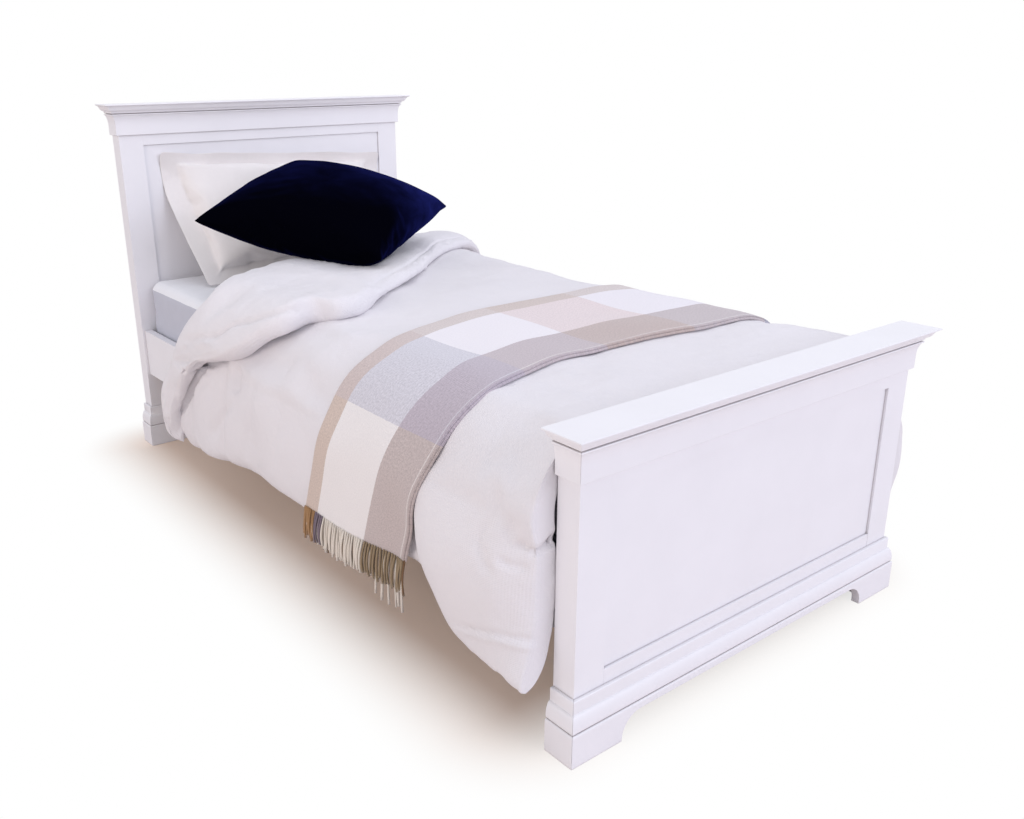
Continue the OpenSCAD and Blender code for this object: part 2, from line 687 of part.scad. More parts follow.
throw_qs = concat(spread(throw_end(-1), -2, 4), spread(-2, -1, 3), spread(-1, 1, 8),
    spread(1, 2, 3), spread(2, throw_end(1), 4), [throw_end(1)]);
throw_ts = spread(0, 1, 6);
duvet_qs = concat(spread(-3, throw_end(-1), 3), throw_qs, [for (i = [1 : 3])
    throw_end(1) + (3 - throw_end(1)) * i / 3]);
function duvet_ys(q) = let (near = throw_line(q, 0), far = throw_line(q, 1), flap = flap_y(q))
    concat([foot_gap, foot_gap + near * 0.16, near * 0.5], [for (t = throw_ts) throw_line(q, t)],
        spread(far, flap, 3), [flap],
        [for (i = [0 : 7]) let (t = i / 7)
            flap + 10 + (fold_y(q) - flap - 10) * t * (1.5 - 0.5 * t)]);

module duvet() {
    outer = [for (q = duvet_qs) [for (y = duvet_ys(q)) let (s = stack(q, y))
        above(q, y, s * (1 - nose(q, y) / 2))]];
    inner = [for (q = duvet_qs) [for (y = duvet_ys(q)) let (s = stack(q, y))
        above(q, y, s * nose(q, y) / 2)]];
    color("#ece5df") skin(outer, inner);
}

// Throw: laid across the duvet and hanging down both sides, with a fringe at each end

function throw_row(q, up) = [for (t = concat(throw_ts, [1])) let (y = throw_line(q, t))
    above(q, y, puff(q, y) + up)];

module throw() {
    outer = [for (q = throw_qs) throw_row(q, soft_gap + throw_t)];
    inner = [for (q = throw_qs) throw_row(q, soft_gap)];
    color("#c9bfbb") skin(outer, inner);
}

// Fringe as a band whose lower edge is cut into tassels, four to each column of the throw
fringe_out = throw_t / 2;

module fringe(side) {
    tassels = 4 * len(throw_ts);
    function edge(up) = let (row = throw_row(throw_end(side), up))
        [for (k = [0 : 2 * tassels]) let (i = min(floor(k / 8), len(throw_ts) - 1),
            p = row[i] + (row[i + 1] - row[i]) * (k / 8 - i)) p - [0, 0, soft_gap]];
    function hung(row) = [for (k = [0 : 2 * tassels])
        row[k] + [side * fringe_out, 0, -fringe_l * (k % 2 == 0 ? 1 : 0.35)]];
    out = edge(throw_t * 0.9);
    in = edge(throw_t * 0.5);
    if (side < 0) skin([in, hung(in)], [out, hung(out)]);
    else skin([out, hung(out)], [in, hung(in)]);
}

module throw_fringe() {
    color("#a48d80") {
        fringe(-1);
        fringe(1);
    }
}

// Pillow with a flat stitched flange, standing on the sheet and leaning on the headboard. Its
// place comes from its own points: the lowest rests on the sheet, and the first to meet the
// panel, the top rail, the cornice or the cap rests there.
pillow_lower = pad_grid(pillow_w, pillow_h, pillow_t, flange_w, 0.03, [22, 16], 0.12, -1);
pillow_upper = pad_grid(pillow_w, pillow_h, pillow_t, flange_w, 0.03, [22, 16], 0.12, 1);
function tipped(p) = let (a = 90 - pillow_lean)
    [p[0], p[1] * cos(a) - p[2] * sin(a), p[1] * sin(a) + p[2] * cos(a)];
function headboard_face(x, z) =
    z > head_h - cap_h ? head_y - cap_over
    : z > head_h - cap_h - cornice_h ? head_y - cornice_out - 1
    : z > top_rail_z(head_h) || abs(x) > half_w - post_w ? head_y
    : head_y + panel_recess;
pillow_z = bed_top + rest_gap
    + max([for (row = concat(pillow_upper, pillow_lower), p = row) -tipped(p)[2]]);
pillow_back_points = [for (k = [1 : len(pillow_lower) - 1], t = [0 : 0.25 : 1])
    each pillow_lower[k - 1] + t * (pillow_lower[k] - pillow_lower[k - 1])];
pillow_y = min([for (p = pillow_back_points) let (at = tipped(p))
    headboard_face(abs(at[0]) + 8, pillow_z + at[2] + 4) - rest_gap - at[1]]);

module pillow() {
    color("#efe8e1") translate([0, pillow_y, pillow_z]) rotate([90 - pillow_lean, 0, 0])
        skin(pillow_lower, pillow_upper);
}

// Square cushion, lying across the folded duvet with one corner up on the pillow
cushion_turn = 35;
cushion_tilt = 15;
cushion_roll = -3;
cushion_lower = pad_grid(cushion_w, cushion_w, cushion_t, 4, 0.07, [18, 18], 0.1, -1);
cushion_upper = pad_grid(cushion_w, cushion_w, cushion_t, 4, 0.07, [18, 18], 0.1, 1);
function turned_z(p) = let (
    y = p[0] * sin(cushion_turn) + p[1] * cos(cushion_turn),
    x = p[0] * cos(cushion_turn) - p[1] * sin(cushion_turn)
) (y * sin(cushion_tilt) + p[2] * cos(cushion_tilt)) * cos(cushion_roll) - x * sin(cushion_roll);
cushion_z = under_z + puff(0, duvet_fold_y) + flap_t + rest_gap
    + max([for (row = cushion_lower, p = row) -turned_z(p)]);
cushion_y = pillow_y + pillow_h / 2 * sin(pillow_lean) - cushion_back
    - cushion_w / sqrt(2) * sin(45 + cushion_turn) * cos(cushion_tilt);

module velvet_cushion() {
    color("#0b0d2e") translate([-cushion_left, cushion_y, cushion_z])
        rotate([cushion_tilt, cushion_roll, 0]) rotate([0, 0, cushion_turn])
        skin(cushion_lower, cushion_upper);
}

foot_post_left();
foot_post_right();
foot_top_rail();
foot_bottom_rail();
foot_panel();
foot_cap();
foot_cornice();
foot_plinth_mould();
foot_base();
head_post_left();
head_post_right();
head_top_rail();
head_bottom_rail();
head_panel();
head_cap();
head_cornice();
head_plinth_mould();
head_base();
side_rail_left();
side_rail_right();
slat_ledger_left();
slat_ledger_right();
rail_hook_plates();
post_keeper_plates();
plate_screws();
ledger_screws();
slat_screws();
cap_dowels();
slat_webbing();
mattress();
fitted_sheet();
pillow();
velvet_cushion();
duvet();
throw();
throw_fringe();
for (i = [1 : slat_count]) slat(i);
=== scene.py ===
from math import atan2, ceil, copysign, cos, exp, pi, radians, sin, sqrt

import bmesh
import bpy
from mathutils import Matrix, Vector, noise
from mathutils.bvhtree import BVHTree


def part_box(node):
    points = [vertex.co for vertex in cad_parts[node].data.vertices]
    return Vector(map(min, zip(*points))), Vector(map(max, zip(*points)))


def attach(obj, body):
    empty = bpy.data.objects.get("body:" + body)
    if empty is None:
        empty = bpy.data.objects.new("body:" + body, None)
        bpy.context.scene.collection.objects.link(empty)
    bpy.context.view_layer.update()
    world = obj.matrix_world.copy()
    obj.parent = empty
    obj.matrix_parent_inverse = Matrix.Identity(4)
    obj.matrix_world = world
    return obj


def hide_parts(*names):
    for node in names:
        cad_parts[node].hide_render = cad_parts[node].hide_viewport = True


bl_info = {
    "name": "Panelled Single Bed",
    "version": (1, 0, 0),
    "blender": (4, 5, 0),
    "location": "View3D > Sidebar > Bed",
    "description": "Dresses the packed bedstead with paint, mattress and bedding",
    "category": "Object",
}

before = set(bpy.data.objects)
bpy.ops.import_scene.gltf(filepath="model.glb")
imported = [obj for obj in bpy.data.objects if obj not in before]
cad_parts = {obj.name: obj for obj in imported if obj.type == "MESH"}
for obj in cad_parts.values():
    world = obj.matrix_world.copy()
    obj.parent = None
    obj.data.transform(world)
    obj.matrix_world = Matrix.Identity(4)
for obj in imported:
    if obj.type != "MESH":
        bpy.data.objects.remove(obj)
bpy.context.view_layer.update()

BED_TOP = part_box("fitted_sheet")[1].z
RAIL_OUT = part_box("side_rail_right")[1].x
FOOT_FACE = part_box("foot_post_left")[1].y
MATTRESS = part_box("mattress")

PAINTED = [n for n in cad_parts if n.startswith(("foot_", "head_", "side_rail_"))]

# ---- Colours and nodes

# Sockets of a Mix node that mixes colours
FACTOR, FIRST, SECOND, MIXED = 0, 6, 7, 2


def linear(code):
    """An sRGB hex code as the linear colour that Blender works in."""
    parts = [int(code[i:i + 2], 16) / 255 for i in (0, 2, 4)]
    return [c / 12.92 if c <= 0.04045 else ((c + 0.055) / 1.055) ** 2.4 for c in parts] + [1.0]


def darker(colour, share):
    return [c * share for c in colour[:3]] + [1]


def add_node(tree, kind, inputs=None, steps=None, **settings):
    """A node with its settings, its input values, and the places and colours of a colour ramp's
    steps. An input that is a socket, or a node with its first output, is linked."""
    node = tree.nodes.new("ShaderNode" + kind)
    for name, value in settings.items():
        setattr(node, name, value)
    for key, value in (inputs or {}).items():
        socket = node.inputs[key]
        if isinstance(value, bpy.types.Node):
            value = value.outputs[0]
        if isinstance(value, bpy.types.NodeSocket):
            tree.links.new(value, socket)
        else:
            socket.default_value = value
    if steps:
        points = node.color_ramp.elements
        points.remove(points[1])
        for i, (place, colour) in enumerate(steps):
            point = points.new(place) if i else points[0]
            point.position, point.color = place, colour
    return node


def start_material(name):
    """An empty node material, its tree, and the coordinates that its patterns can follow."""
    material = bpy.data.materials.new(name)
    material.use_nodes = True
    tree = material.node_tree
    tree.nodes.clear()
    return material, tree, add_node(tree, "TexCoord").outputs


def finish_material(tree, **inputs):
    """Ends a material in a Principled surface."""
    named = {key.replace("_", " "): value for key, value in inputs.items()}
    surface = add_node(tree, "BsdfPrincipled", named)
    add_node(tree, "OutputMaterial", {"Surface": surface.outputs[0]})


def painted_wood(colour, along):
    """Satin water-based paint on solid wood, brushed along the piece. The eye gets an even
    off-white with a soft sheen, very faint brush lines and a slight waviness of the film."""
    material, tree, places = start_material("painted_wood_" + "xyz"[along])
    # brush lines about 1.5 mm apart and 150 mm long
    lines = [650.0, 650.0, 650.0]
    lines[along] = 7.0
    combed = add_node(tree, "Mapping", {"Vector": places["Object"], "Scale": lines})
    brushed = add_node(tree, "TexNoise", {"Vector": combed, "Scale": 1.0, "Detail": 2.0})
    cloud = add_node(tree, "TexNoise", {"Vector": places["Object"], "Scale": 9.0, "Detail": 3.0})
    paint = add_node(tree, "ValToRGB", {"Fac": cloud},
                     [(0.3, darker(colour, 0.975)), (0.7, colour)])
    # painted shade: the colour darkens in the quirks of the mouldings and along the joints, where
    # the surface is closed in
    painted_shade_mask = add_node(tree, "AmbientOcclusion", {"Distance": 0.010}, samples=8)
    shade = add_node(tree, "ValToRGB", {"Fac": painted_shade_mask.outputs["AO"]},
                     [(0.3, linear("dad5d3")), (0.75, linear("ffffff"))])
    tone = add_node(tree, "Mix", {FACTOR: 1.0, FIRST: paint, SECOND: shade},
                    data_type="RGBA", blend_type="MULTIPLY")
    gloss = add_node(tree, "MapRange", {"Value": cloud, "To Min": 0.36, "To Max": 0.46})
    film = add_node(tree, "Bump", {"Height": brushed, "Strength": 0.16, "Distance": 0.0002})
    finish_material(tree, Base_Color=tone.outputs[MIXED], Roughness=gloss,
                    Normal=film, Coat_Weight=0.08, Coat_Roughness=0.3)
    return material


def bare_softwood(colour, along):
    """Planed pine, unfinished: straight grain with darker late wood and a dry surface."""
    material, tree, places = start_material("planed_pine_" + "xyz"[along])
    # growth rings about 3 mm apart, running along the piece
    across = [1.0, 1.0, 1.0]
    across[along] = 0.06
    board = add_node(tree, "Mapping", {"Vector": places["Object"], "Scale": across})
    warped = add_node(tree, "TexNoise", {"Vector": board, "Scale": 14.0, "Detail": 3.0})
    rings = add_node(tree, "Math", {0: warped, 1: 22.0}, operation="MULTIPLY")
    wave = add_node(tree, "Math", {0: rings}, operation="SINE")
    late_wood = [colour[0] * 0.72, colour[1] * 0.62, colour[2] * 0.5, 1]
    tone = add_node(tree, "ValToRGB", {"Fac": wave}, [(0.0, colour), (1.0, late_wood)])
    combed = add_node(tree, "Mapping", {"Vector": places["Object"],
                                        "Scale": [share * 900 for share in across]})
    fibre = add_node(tree, "TexNoise", {"Vector": combed, "Scale": 1.0})
    lift = add_node(tree, "Bump", {"Height": fibre, "Strength": 0.25, "Distance": 0.0003})
    finish_material(tree, Base_Color=tone, Roughness=0.62, Normal=lift)
    return material


def turned_beech(colour):
    """Bare beech dowel: pink-brown with short dark flecks."""
    material, tree, places = start_material("bare_beech")
    # flecks about 1 mm wide and 8 mm long
    combed = add_node(tree, "Mapping", {"Vector": places["Object"], "Scale": (900, 900, 120)})
    flecks = add_node(tree, "TexNoise", {"Vector": combed, "Scale": 1.0})
    tone = add_node(tree, "ValToRGB", {"Fac": flecks}, [(0.35, darker(colour, 0.7)), (0.6, colour)])
    finish_material(tree, Base_Color=tone, Roughness=0.6)
    return material


def zinc_plated_steel(name, colour, roughness):
    """Pressed steel with bright zinc plating: grey, slightly mottled by the plating's crystals."""
    material, tree, places = start_material(name)
    # crystals of about 2 mm
    crystals = add_node(tree, "TexVoronoi", {"Vector": places["Object"], "Scale": 500.0})
    tone = add_node(tree, "ValToRGB", {"Fac": crystals.outputs["Distance"]},
                    [(0.0, colour), (1.0, darker(colour, 0.85))])
    grain = add_node(tree, "TexNoise", {"Vector": places["Object"], "Scale": 900.0})
    gloss = add_node(tree, "MapRange", {"Value": grain, "To Min": roughness - 0.06,
                                        "To Max": roughness + 0.08})
    finish_material(tree, Base_Color=tone, Metallic=1.0, Roughness=gloss)
    return material


def woven_height(tree, coordinates, pitch):
    """Height of a plain weave: warp and weft threads at the given pitch, in metres."""
    parts = add_node(tree, "SeparateXYZ", {"Vector": coordinates})
    waves = []
    for axis in ("X", "Y"):
        turn = add_node(tree, "Math", {0: parts.outputs[axis], 1: 2 * pi / pitch},
                        operation="MULTIPLY")
        waves.append(add_node(tree, "Math", {0: turn}, operation="SINE"))
    return add_node(tree, "Math", {0: waves[0], 1: waves[1]}, operation="MULTIPLY")


def cotton(name, colour, pitch, depth, sheen, on_uv=True):
    """Woven cotton: matt, with a little sheen at grazing angles, a thread pattern that is just
    large enough to show, and slight tone changes from washing and creasing."""
    material, tree, places = start_material(name)
    cloth = places["UV" if on_uv else "Object"]
    weave = woven_height(tree, cloth, pitch)
    creases = add_node(tree, "TexNoise", {"Vector": places["Object"], "Scale": 26.0, "Detail": 5.0,
                                          "Roughness": 0.6})
    # thick places about 1 mm wide and 15 mm long in the threads
    drawn = add_node(tree, "Mapping", {"Vector": cloth, "Scale": (60, 900, 60)})
    slubs = add_node(tree, "TexNoise", {"Vector": drawn, "Scale": 1.0})
    tone = add_node(tree, "ValToRGB", {"Fac": creases},
                    [(0.3, darker(colour, 0.97)), (0.7, colour)])
    threads = add_node(tree, "Math", {0: weave, 1: slubs}, operation="ADD")
    face = add_node(tree, "Bump", {"Height": threads, "Strength": depth, "Distance": pitch * 0.12})
    soft = add_node(tree, "Bump", {"Height": creases, "Strength": 0.25,
                                   "Distance": 0.004, "Normal": face})
    finish_material(tree, Base_Color=tone, Roughness=0.85,
                    Normal=soft, Sheen_Weight=sheen, Sheen_Roughness=0.5, Specular_IOR_Level=0.25)
    return material


def waffle_cotton(colour):
    """Washed cotton in a fine waffle weave, as on the duvet cover: small square cells with raised
    edges, set on the bias. The real cells are about 3 mm; they are drawn larger so that they
    show."""
    material, tree, places = start_material("waffle_cotton")
    turned = add_node(tree, "Mapping", {"Vector": places["UV"], "Rotation": (0, 0, radians(45))})
    cells = woven_height(tree, turned, 0.0066)
    creases = add_node(tree, "TexNoise", {"Vector": places["Object"], "Scale": 18.0, "Detail": 6.0,
                                          "Roughness": 0.62})
    broad = add_node(tree, "TexNoise", {"Vector": places["Object"], "Scale": 3.0, "Detail": 2.0})
    tone = add_node(tree, "ValToRGB", {"Fac": broad},
                    [(0.35, darker(colour, 0.975)), (0.65, colour)])
    face = add_node(tree, "Bump", {"Height": cells, "Strength": 0.4, "Distance": 0.0008})
    soft = add_node(tree, "Bump", {"Height": creases, "Strength": 0.5,
                                   "Distance": 0.007, "Normal": face})
    finish_material(tree, Base_Color=tone, Roughness=0.88,
                    Normal=soft, Sheen_Weight=0.12, Sheen_Roughness=0.5, Specular_IOR_Level=0.2)
    return material


def cotton_velvet(colour, sheen_colour):
    """Short-pile cotton velvet, almost black, with hand marks and crushed places. A painted sheen
    in its colour turns it blue where the surface leans away from the eye and towards the right end."""
    material, tree, places = start_material("cotton_velvet")
    crushed = add_node(tree, "TexNoise", {"Vector": places["Object"], "Scale": 11.0, "Detail": 5.0,
                                          "Roughness": 0.65, "Distortion": 0.6})
    # painted sheen: the colour turns towards the sheen colour where the surface leans away from the
    # eye
    facing = add_node(tree, "LayerWeight", {"Blend": 0.5})
    painted_grazing_sheen = add_node(tree, "MapRange", {"Value": facing.outputs["Facing"], "From Min": 0.40,
                                          "From Max": 0.97}, interpolation_type="SMOOTHSTEP")
    marks = add_node(tree, "MapRange", {"Value": crushed, "From Min": 0.3,
                                        "From Max": 0.7, "To Min": 0.4, "To Max": 1.3})
    # painted light: the right end gets more of the sheen colour, as if lit from that side
    across = add_node(tree, "SeparateXYZ", {"Vector": places["Object"]})
    painted_sheen_right = add_node(tree, "MapRange", {"Value": across.outputs["X"], "From Max": 0.26,
                                          "To Max": 0.75}, interpolation_type="SMOOTHSTEP")
    both = add_node(tree, "Math", {0: painted_grazing_sheen, 1: 0.35, 2: painted_sheen_right}, operation="MULTIPLY_ADD")
    lit = add_node(tree, "Math", {0: both, 1: marks}, operation="MULTIPLY")
    tone = add_node(tree, "ValToRGB", {"Fac": lit}, [(0.0, colour), (1.0, sheen_colour)])
    # tufts of about 1.5 mm
    pile = add_node(tree, "TexNoise", {"Vector": places["Object"], "Scale": 700.0, "Detail": 2.0})
    nap = add_node(tree, "Bump", {"Height": pile, "Strength": 0.25, "Distance": 0.0006})
    lean = add_node(tree, "Bump", {"Height": crushed, "Strength": 0.3,
                                   "Distance": 0.005, "Normal": nap})
    finish_material(tree, Base_Color=tone, Roughness=0.95,
                    Normal=lean, Sheen_Weight=0.08, Sheen_Roughness=0.3,
                    Sheen_Tint=sheen_colour, Specular_IOR_Level=0.0)
    return material


THROW_LENGTH = 1.86
THROW_FOLD = 0.42
# Share of the length at which each colour starts, left end to right end, by band
CHECKS = [0.0, 0.158, 0.269, 0.413, 0.556, 0.696, 0.85]
STRIPE = ["ccbaae", "c9bab6", "cfc3bf", "c9bab3", "cfc4c1", "c2bec6", "cbbdb6"]
SQUARES = ["e8e4e3", "cfcdd5", "eae6ea", "e0d2d2", "e8e4e9", "cdcedb", "e8e4e6"]
BAND = ["beb1ae", "b8aeb8", "beb2b6", "bbaaa5", "beb3b5", "b3b1bd", "beb1ae"]
EDGE = ["d8d0cd", "cbc7cf", "d8d1cf", "d3c7c4", "d8d1d1", "cac8d2", "d8d0cd"]
# Distance across the folded throw at which each band starts, from the head side
THROW_BANDS = [(0.0, STRIPE), (0.07, SQUARES), (0.272, BAND), (0.397, EDGE), (0.401, BAND)]
# Colours of the fringe's strands by distance from the head side; the last one is at the back only
YARNS = [(0.0, "b08a62"), (0.066, "857883"), (0.096, "f0e8dc"), (0.272, "a08c70"), (0.43, "8a6d50")]


def checked_colour(tree, along, across):
    """The throw's check, from the share along it and metres across it: a narrow stripe, a wide
    band of squares and a second band, each with its own run of colours."""
    check = None
    for start, codes in THROW_BANDS:
        band = add_node(tree, "ValToRGB", {"Fac": along},
                        [(place, linear(code)) for place, code in zip(CHECKS, codes)])
        band.color_ramp.interpolation = "CONSTANT"
        if check is None:
            check = band
            continue
        past = add_node(tree, "Math", {0: across, 1: start}, operation="GREATER_THAN")
        check = add_node(tree, "Mix", {FACTOR: past, FIRST: check, SECOND: band},
                         data_type="RGBA").outputs[MIXED]
    return check


def brushed_wool():
    """Brushed lambswool twill in large checks: soft felted face with loose fibres, and where
    two colours cross the threads of both show as a fleck. The real fleck is about 1 mm; it is
    drawn at 4 mm so that it shows."""
    material, tree, places = start_material("brushed_wool")
    parts = add_node(tree, "SeparateXYZ", {"Vector": places["UV"]})
    # edges of the squares waver by a thread or two
    waver = add_node(tree, "TexNoise", {"Vector": places["UV"], "Scale": 260.0})
    along, across = [add_node(tree, "Math", {0: waver, 1: size,
                                             2: parts.outputs[axis]}, operation="MULTIPLY_ADD")
                     for axis, size in (("X", 0.0016), ("Y", 0.0022))]
    share = add_node(tree, "Math", {0: along, 1: 1 / THROW_LENGTH}, operation="MULTIPLY")
    check = checked_colour(tree, share, across)
    fleck = add_node(tree, "TexNoise", {"Vector": places["UV"], "Scale": 240.0, "Detail": 4.0,
                                        "Roughness": 0.75})
    depth = add_node(tree, "MapRange", {"Value": fleck, "From Min": 0.3,
                                        "From Max": 0.7, "To Min": -0.24, "To Max": 0.20})
    # the cream squares are of one colour, so they show hardly any fleck
    bright = add_node(tree, "RGBToBW", {"Color": check})
    mingled = add_node(tree, "MapRange", {"Value": bright, "From Min": 0.64,
                                          "From Max": 0.76, "To Min": 1.0, "To Max": 0.25})
    shade = add_node(tree, "Math", {0: depth, 1: mingled, 2: 1.0}, operation="MULTIPLY_ADD")
    tone = add_node(tree, "VectorMath", {0: check, "Scale": shade}, operation="SCALE")
    twill = add_node(tree, "Mapping", {"Vector": places["UV"], "Rotation": (0, 0, radians(38))})
    ribs = woven_height(tree, twill, 0.0045)
    height = add_node(tree, "Math", {0: ribs, 1: fleck}, operation="ADD")
    nap = add_node(tree, "Bump", {"Height": height, "Strength": 0.3, "Distance": 0.0007})
    finish_material(tree, Base_Color=tone, Roughness=0.95,
                    Normal=nap, Sheen_Weight=0.35, Sheen_Roughness=0.6, Specular_IOR_Level=0.15)
    return material


def twisted_yarn():
    """The fringe's plied wool, matt and hairy. Each strand has one colour, which its UV map's
    height picks from the yarns."""
    material, tree, places = start_material("twisted_wool_yarn")
    parts = add_node(tree, "SeparateXYZ", {"Vector": places["UV"]})
    # a ramp ends at 1, and the throw is less than half a metre wide
    share = add_node(tree, "Math", {0: parts.outputs["Y"], 1: 2.0}, operation="MULTIPLY")
    dye = add_node(tree, "ValToRGB", {"Fac": share},
                   [(2 * place, linear(code)) for place, code in YARNS])
    dye.color_ramp.interpolation = "CONSTANT"
    # plies of about 1.5 mm
    ply = add_node(tree, "TexNoise", {"Vector": places["Object"], "Scale": 700.0})
    depth = add_node(tree, "MapRange", {"Value": ply, "To Min": 0.7, "To Max": 1.0})
    tone = add_node(tree, "VectorMath", {0: dye, "Scale": depth}, operation="SCALE")
    twist = add_node(tree, "Bump", {"Height": ply, "Strength": 0.5, "Distance": 0.0006})
    finish_material(tree, Base_Color=tone, Roughness=0.95,
                    Normal=twist, Sheen_Weight=0.3, Specular_IOR_Level=0.15)
    return material


# ---- Curves, noise and mesh helpers

def smooth_step(low, high, x):
    t = min(1.0, max(0.0, (x - low) / (high - low)))
    return t * t * (3 - 2 * t)


def bell(x, middle, spread):
    return exp(-((x - middle) / spread) ** 2)


def track(points, x):
    """A smooth line through (x, value) pairs, with no overshoot between them."""
    if x <= points[0][0]:
        return points[0][1]
    if x >= points[-1][0]:
        return points[-1][1]
    i = next(n for n in range(1, len(points)) if x <= points[n][0])
    slopes = []
    for n in (i - 1, i):
        before = points[max(0, n - 1)]
        here = points[n]
        after = points[min(len(points) - 1, n + 1)]
        left = (here[1] - before[1]) / max(1e-9, here[0] - before[0])
        right = (after[1] - here[1]) / max(1e-9, after[0] - here[0])
        slopes.append(2 * left * right / (left + right) if left * right > 0 else 0.0)
    (x0, v0), (x1, v1) = points[i - 1], points[i]
    run = x1 - x0
    t = (x - x0) / run
    return (v0 * (1 + 2 * t) * (1 - t) ** 2 + v1 * t * t * (3 - 2 * t)
            + slopes[0] * run * t * (1 - t) ** 2 - slopes[1] * run * t * t * (1 - t))


def ripple(x, y, z, size):
    """Smooth noise from -1 to 1 with features of about the given size in metres."""
    return noise.noise(Vector((x, y, z)) / size)


def new_piece(name, bm, materials):
    """A scene object from a bmesh, which it uses up."""
    mesh = bpy.data.meshes.new(name)
    bm.to_mesh(mesh)
    bm.free()
    piece = bpy.data.objects.new(name, mesh)
    bpy.context.scene.collection.objects.link(piece)
    for material in materials:
        mesh.materials.append(material)
    mesh.shade_smooth()
    return piece


def join_to_bed(piece, node):
    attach(piece, "root")
    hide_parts(node)


def rounding(piece, name):
    """One level of subdivision."""
    finish = piece.modifiers.new(name, "SUBSURF")
    finish.levels = finish.render_levels = 1
    return finish


def cloth_wall(piece, thickness, offset):
    """Gives a single layer of cloth its thickness."""
    wall = piece.modifiers.new("Cloth", "SOLIDIFY")
    wall.thickness = thickness
    wall.offset = offset


def lay_uv(bm, place_of):
    """Lays the UV map out in metres: place_of gives a vertex's place on the flat cloth."""
    uv = bm.loops.layers.uv.verify()
    for face in bm.faces:
        for loop in face.loops:
            loop[uv].uv = place_of(loop.vert)


def new_verts(made):
    return [v for v in made if isinstance(v, bmesh.types.BMVert)]


def new_faces(made):
    return [f for f in made if isinstance(f, bmesh.types.BMFace)]


def settle_order(bm):
    """Sorts a bmesh's parts by place: an extrusion's order varies from run to run, and a simulation
    would vary with it."""
    for parts in (bm.verts, bm.edges, bm.faces):
        by_place = sorted(parts, key=lambda part: sorted(
            vertex.co[:] for vertex in getattr(part, "verts", [part])))
        order = {part: i for i, part in enumerate(by_place)}
        parts.sort(key=order.get)
        parts.index_update()


def refine(piece):
    """Cuts every face in four, rounding the surface, and keeps the result as the mesh."""
    finish = rounding(piece, "Refine")
    finer = bpy.data.meshes.new_from_object(
        piece.evaluated_get(bpy.context.evaluated_depsgraph_get()))
    piece.modifiers.remove(finish)
    coarse = piece.data
    piece.data = finer
    bpy.data.meshes.remove(coarse)


def billow_out(piece, pressure, frames, cap, shrink=0.0, stiffness=15.0, bending=0.5):
    """Fills a closed cloth with air for a few frames and keeps the shape it reaches. Points move
    no further than the cap."""
    scene = bpy.context.scene
    cloth = piece.modifiers.new("Cloth", "CLOTH")
    settings = cloth.settings
    settings.quality = 5
    settings.mass = 0.3
    settings.tension_stiffness = settings.compression_stiffness = stiffness
    settings.shear_stiffness = stiffness * 0.4
    settings.bending_stiffness = bending
    settings.use_pressure = True
    settings.uniform_pressure_force = pressure
    settings.shrink_min = shrink
    settings.effector_weights.gravity = 0
    cloth.collision_settings.use_collision = False
    cloth.collision_settings.use_self_collision = False
    cloth.point_cache.frame_start = 1
    cloth.point_cache.frame_end = frames
    for frame_number in range(1, frames + 1):
        scene.frame_set(frame_number)
    shaped = piece.evaluated_get(bpy.context.evaluated_depsgraph_get()).to_mesh()
    moved = [v.co.copy() for v in shaped.vertices]
    piece.modifiers.remove(cloth)
    for vertex, place in zip(piece.data.vertices, moved):
        step = place - vertex.co
        if step.length > cap:
            step *= cap / step.length
        vertex.co = vertex.co + step
    scene.frame_set(1)


def surface_of(piece):
    """The piece as a tree that finds the nearest point of its surface."""
    bm = bmesh.new()
    bm.from_mesh(piece.data)
    tree = BVHTree.FromBMesh(bm)
    bm.free()
    return tree


def press_on(piece, other, gap):
    """Moves the points of a piece that have sunk into another one back out of it."""
    tree = surface_of(other)
    for vertex in piece.data.vertices:
        near, normal, _, distance = tree.find_nearest(vertex.co, 0.08)
        if near is None:
            continue
        depth = (vertex.co - near).dot(normal)
        if distance < gap or depth < -0.7 * distance:
            vertex.co = near + normal * gap


# ---- Boards, slats and fittings

def along_of(node):
    """The axis that a board's grain and brush lines follow: its longest side."""
    low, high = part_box(node)
    sizes = high - low
    return max(range(3), key=lambda i: sizes[i])


def eased_copy(node, material, ease):
    """A copy of a CAD board with its sharp edges eased, as sanding and paint leave them."""
    bm = bmesh.new()
    bm.from_mesh(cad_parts[node].data)
    bmesh.ops.remove_doubles(bm, verts=bm.verts, dist=0.00001)
    bmesh.ops.dissolve_limit(bm, angle_limit=radians(0.4), verts=bm.verts, edges=bm.edges)
    piece = new_piece(node + "_painted", bm, [material])
    piece.data.set_sharp_from_angle(angle=radians(24))
    edge = piece.modifiers.new("Eased edges", "BEVEL")
    edge.width = ease
    edge.segments = 2
    edge.limit_method = "ANGLE"
    edge.angle_limit = radians(32)
    edge.harden_normals = True
    join_to_bed(piece, node)


class BED_OT_boards(bpy.types.Operator):
    """Paints the headboard, the footboard and the side rails, with eased edges"""
    bl_idname = "bed.boards"
    bl_label = "Painted Boards"

    def execute(self, context):
        paints = [painted_wood(list(context.scene.bed_colours.paint), axis) for axis in range(3)]
        for node in PAINTED:
            eased_copy(node, paints[along_of(node)], context.scene.bed_sizes.eased_edge)
        return {"FINISHED"}


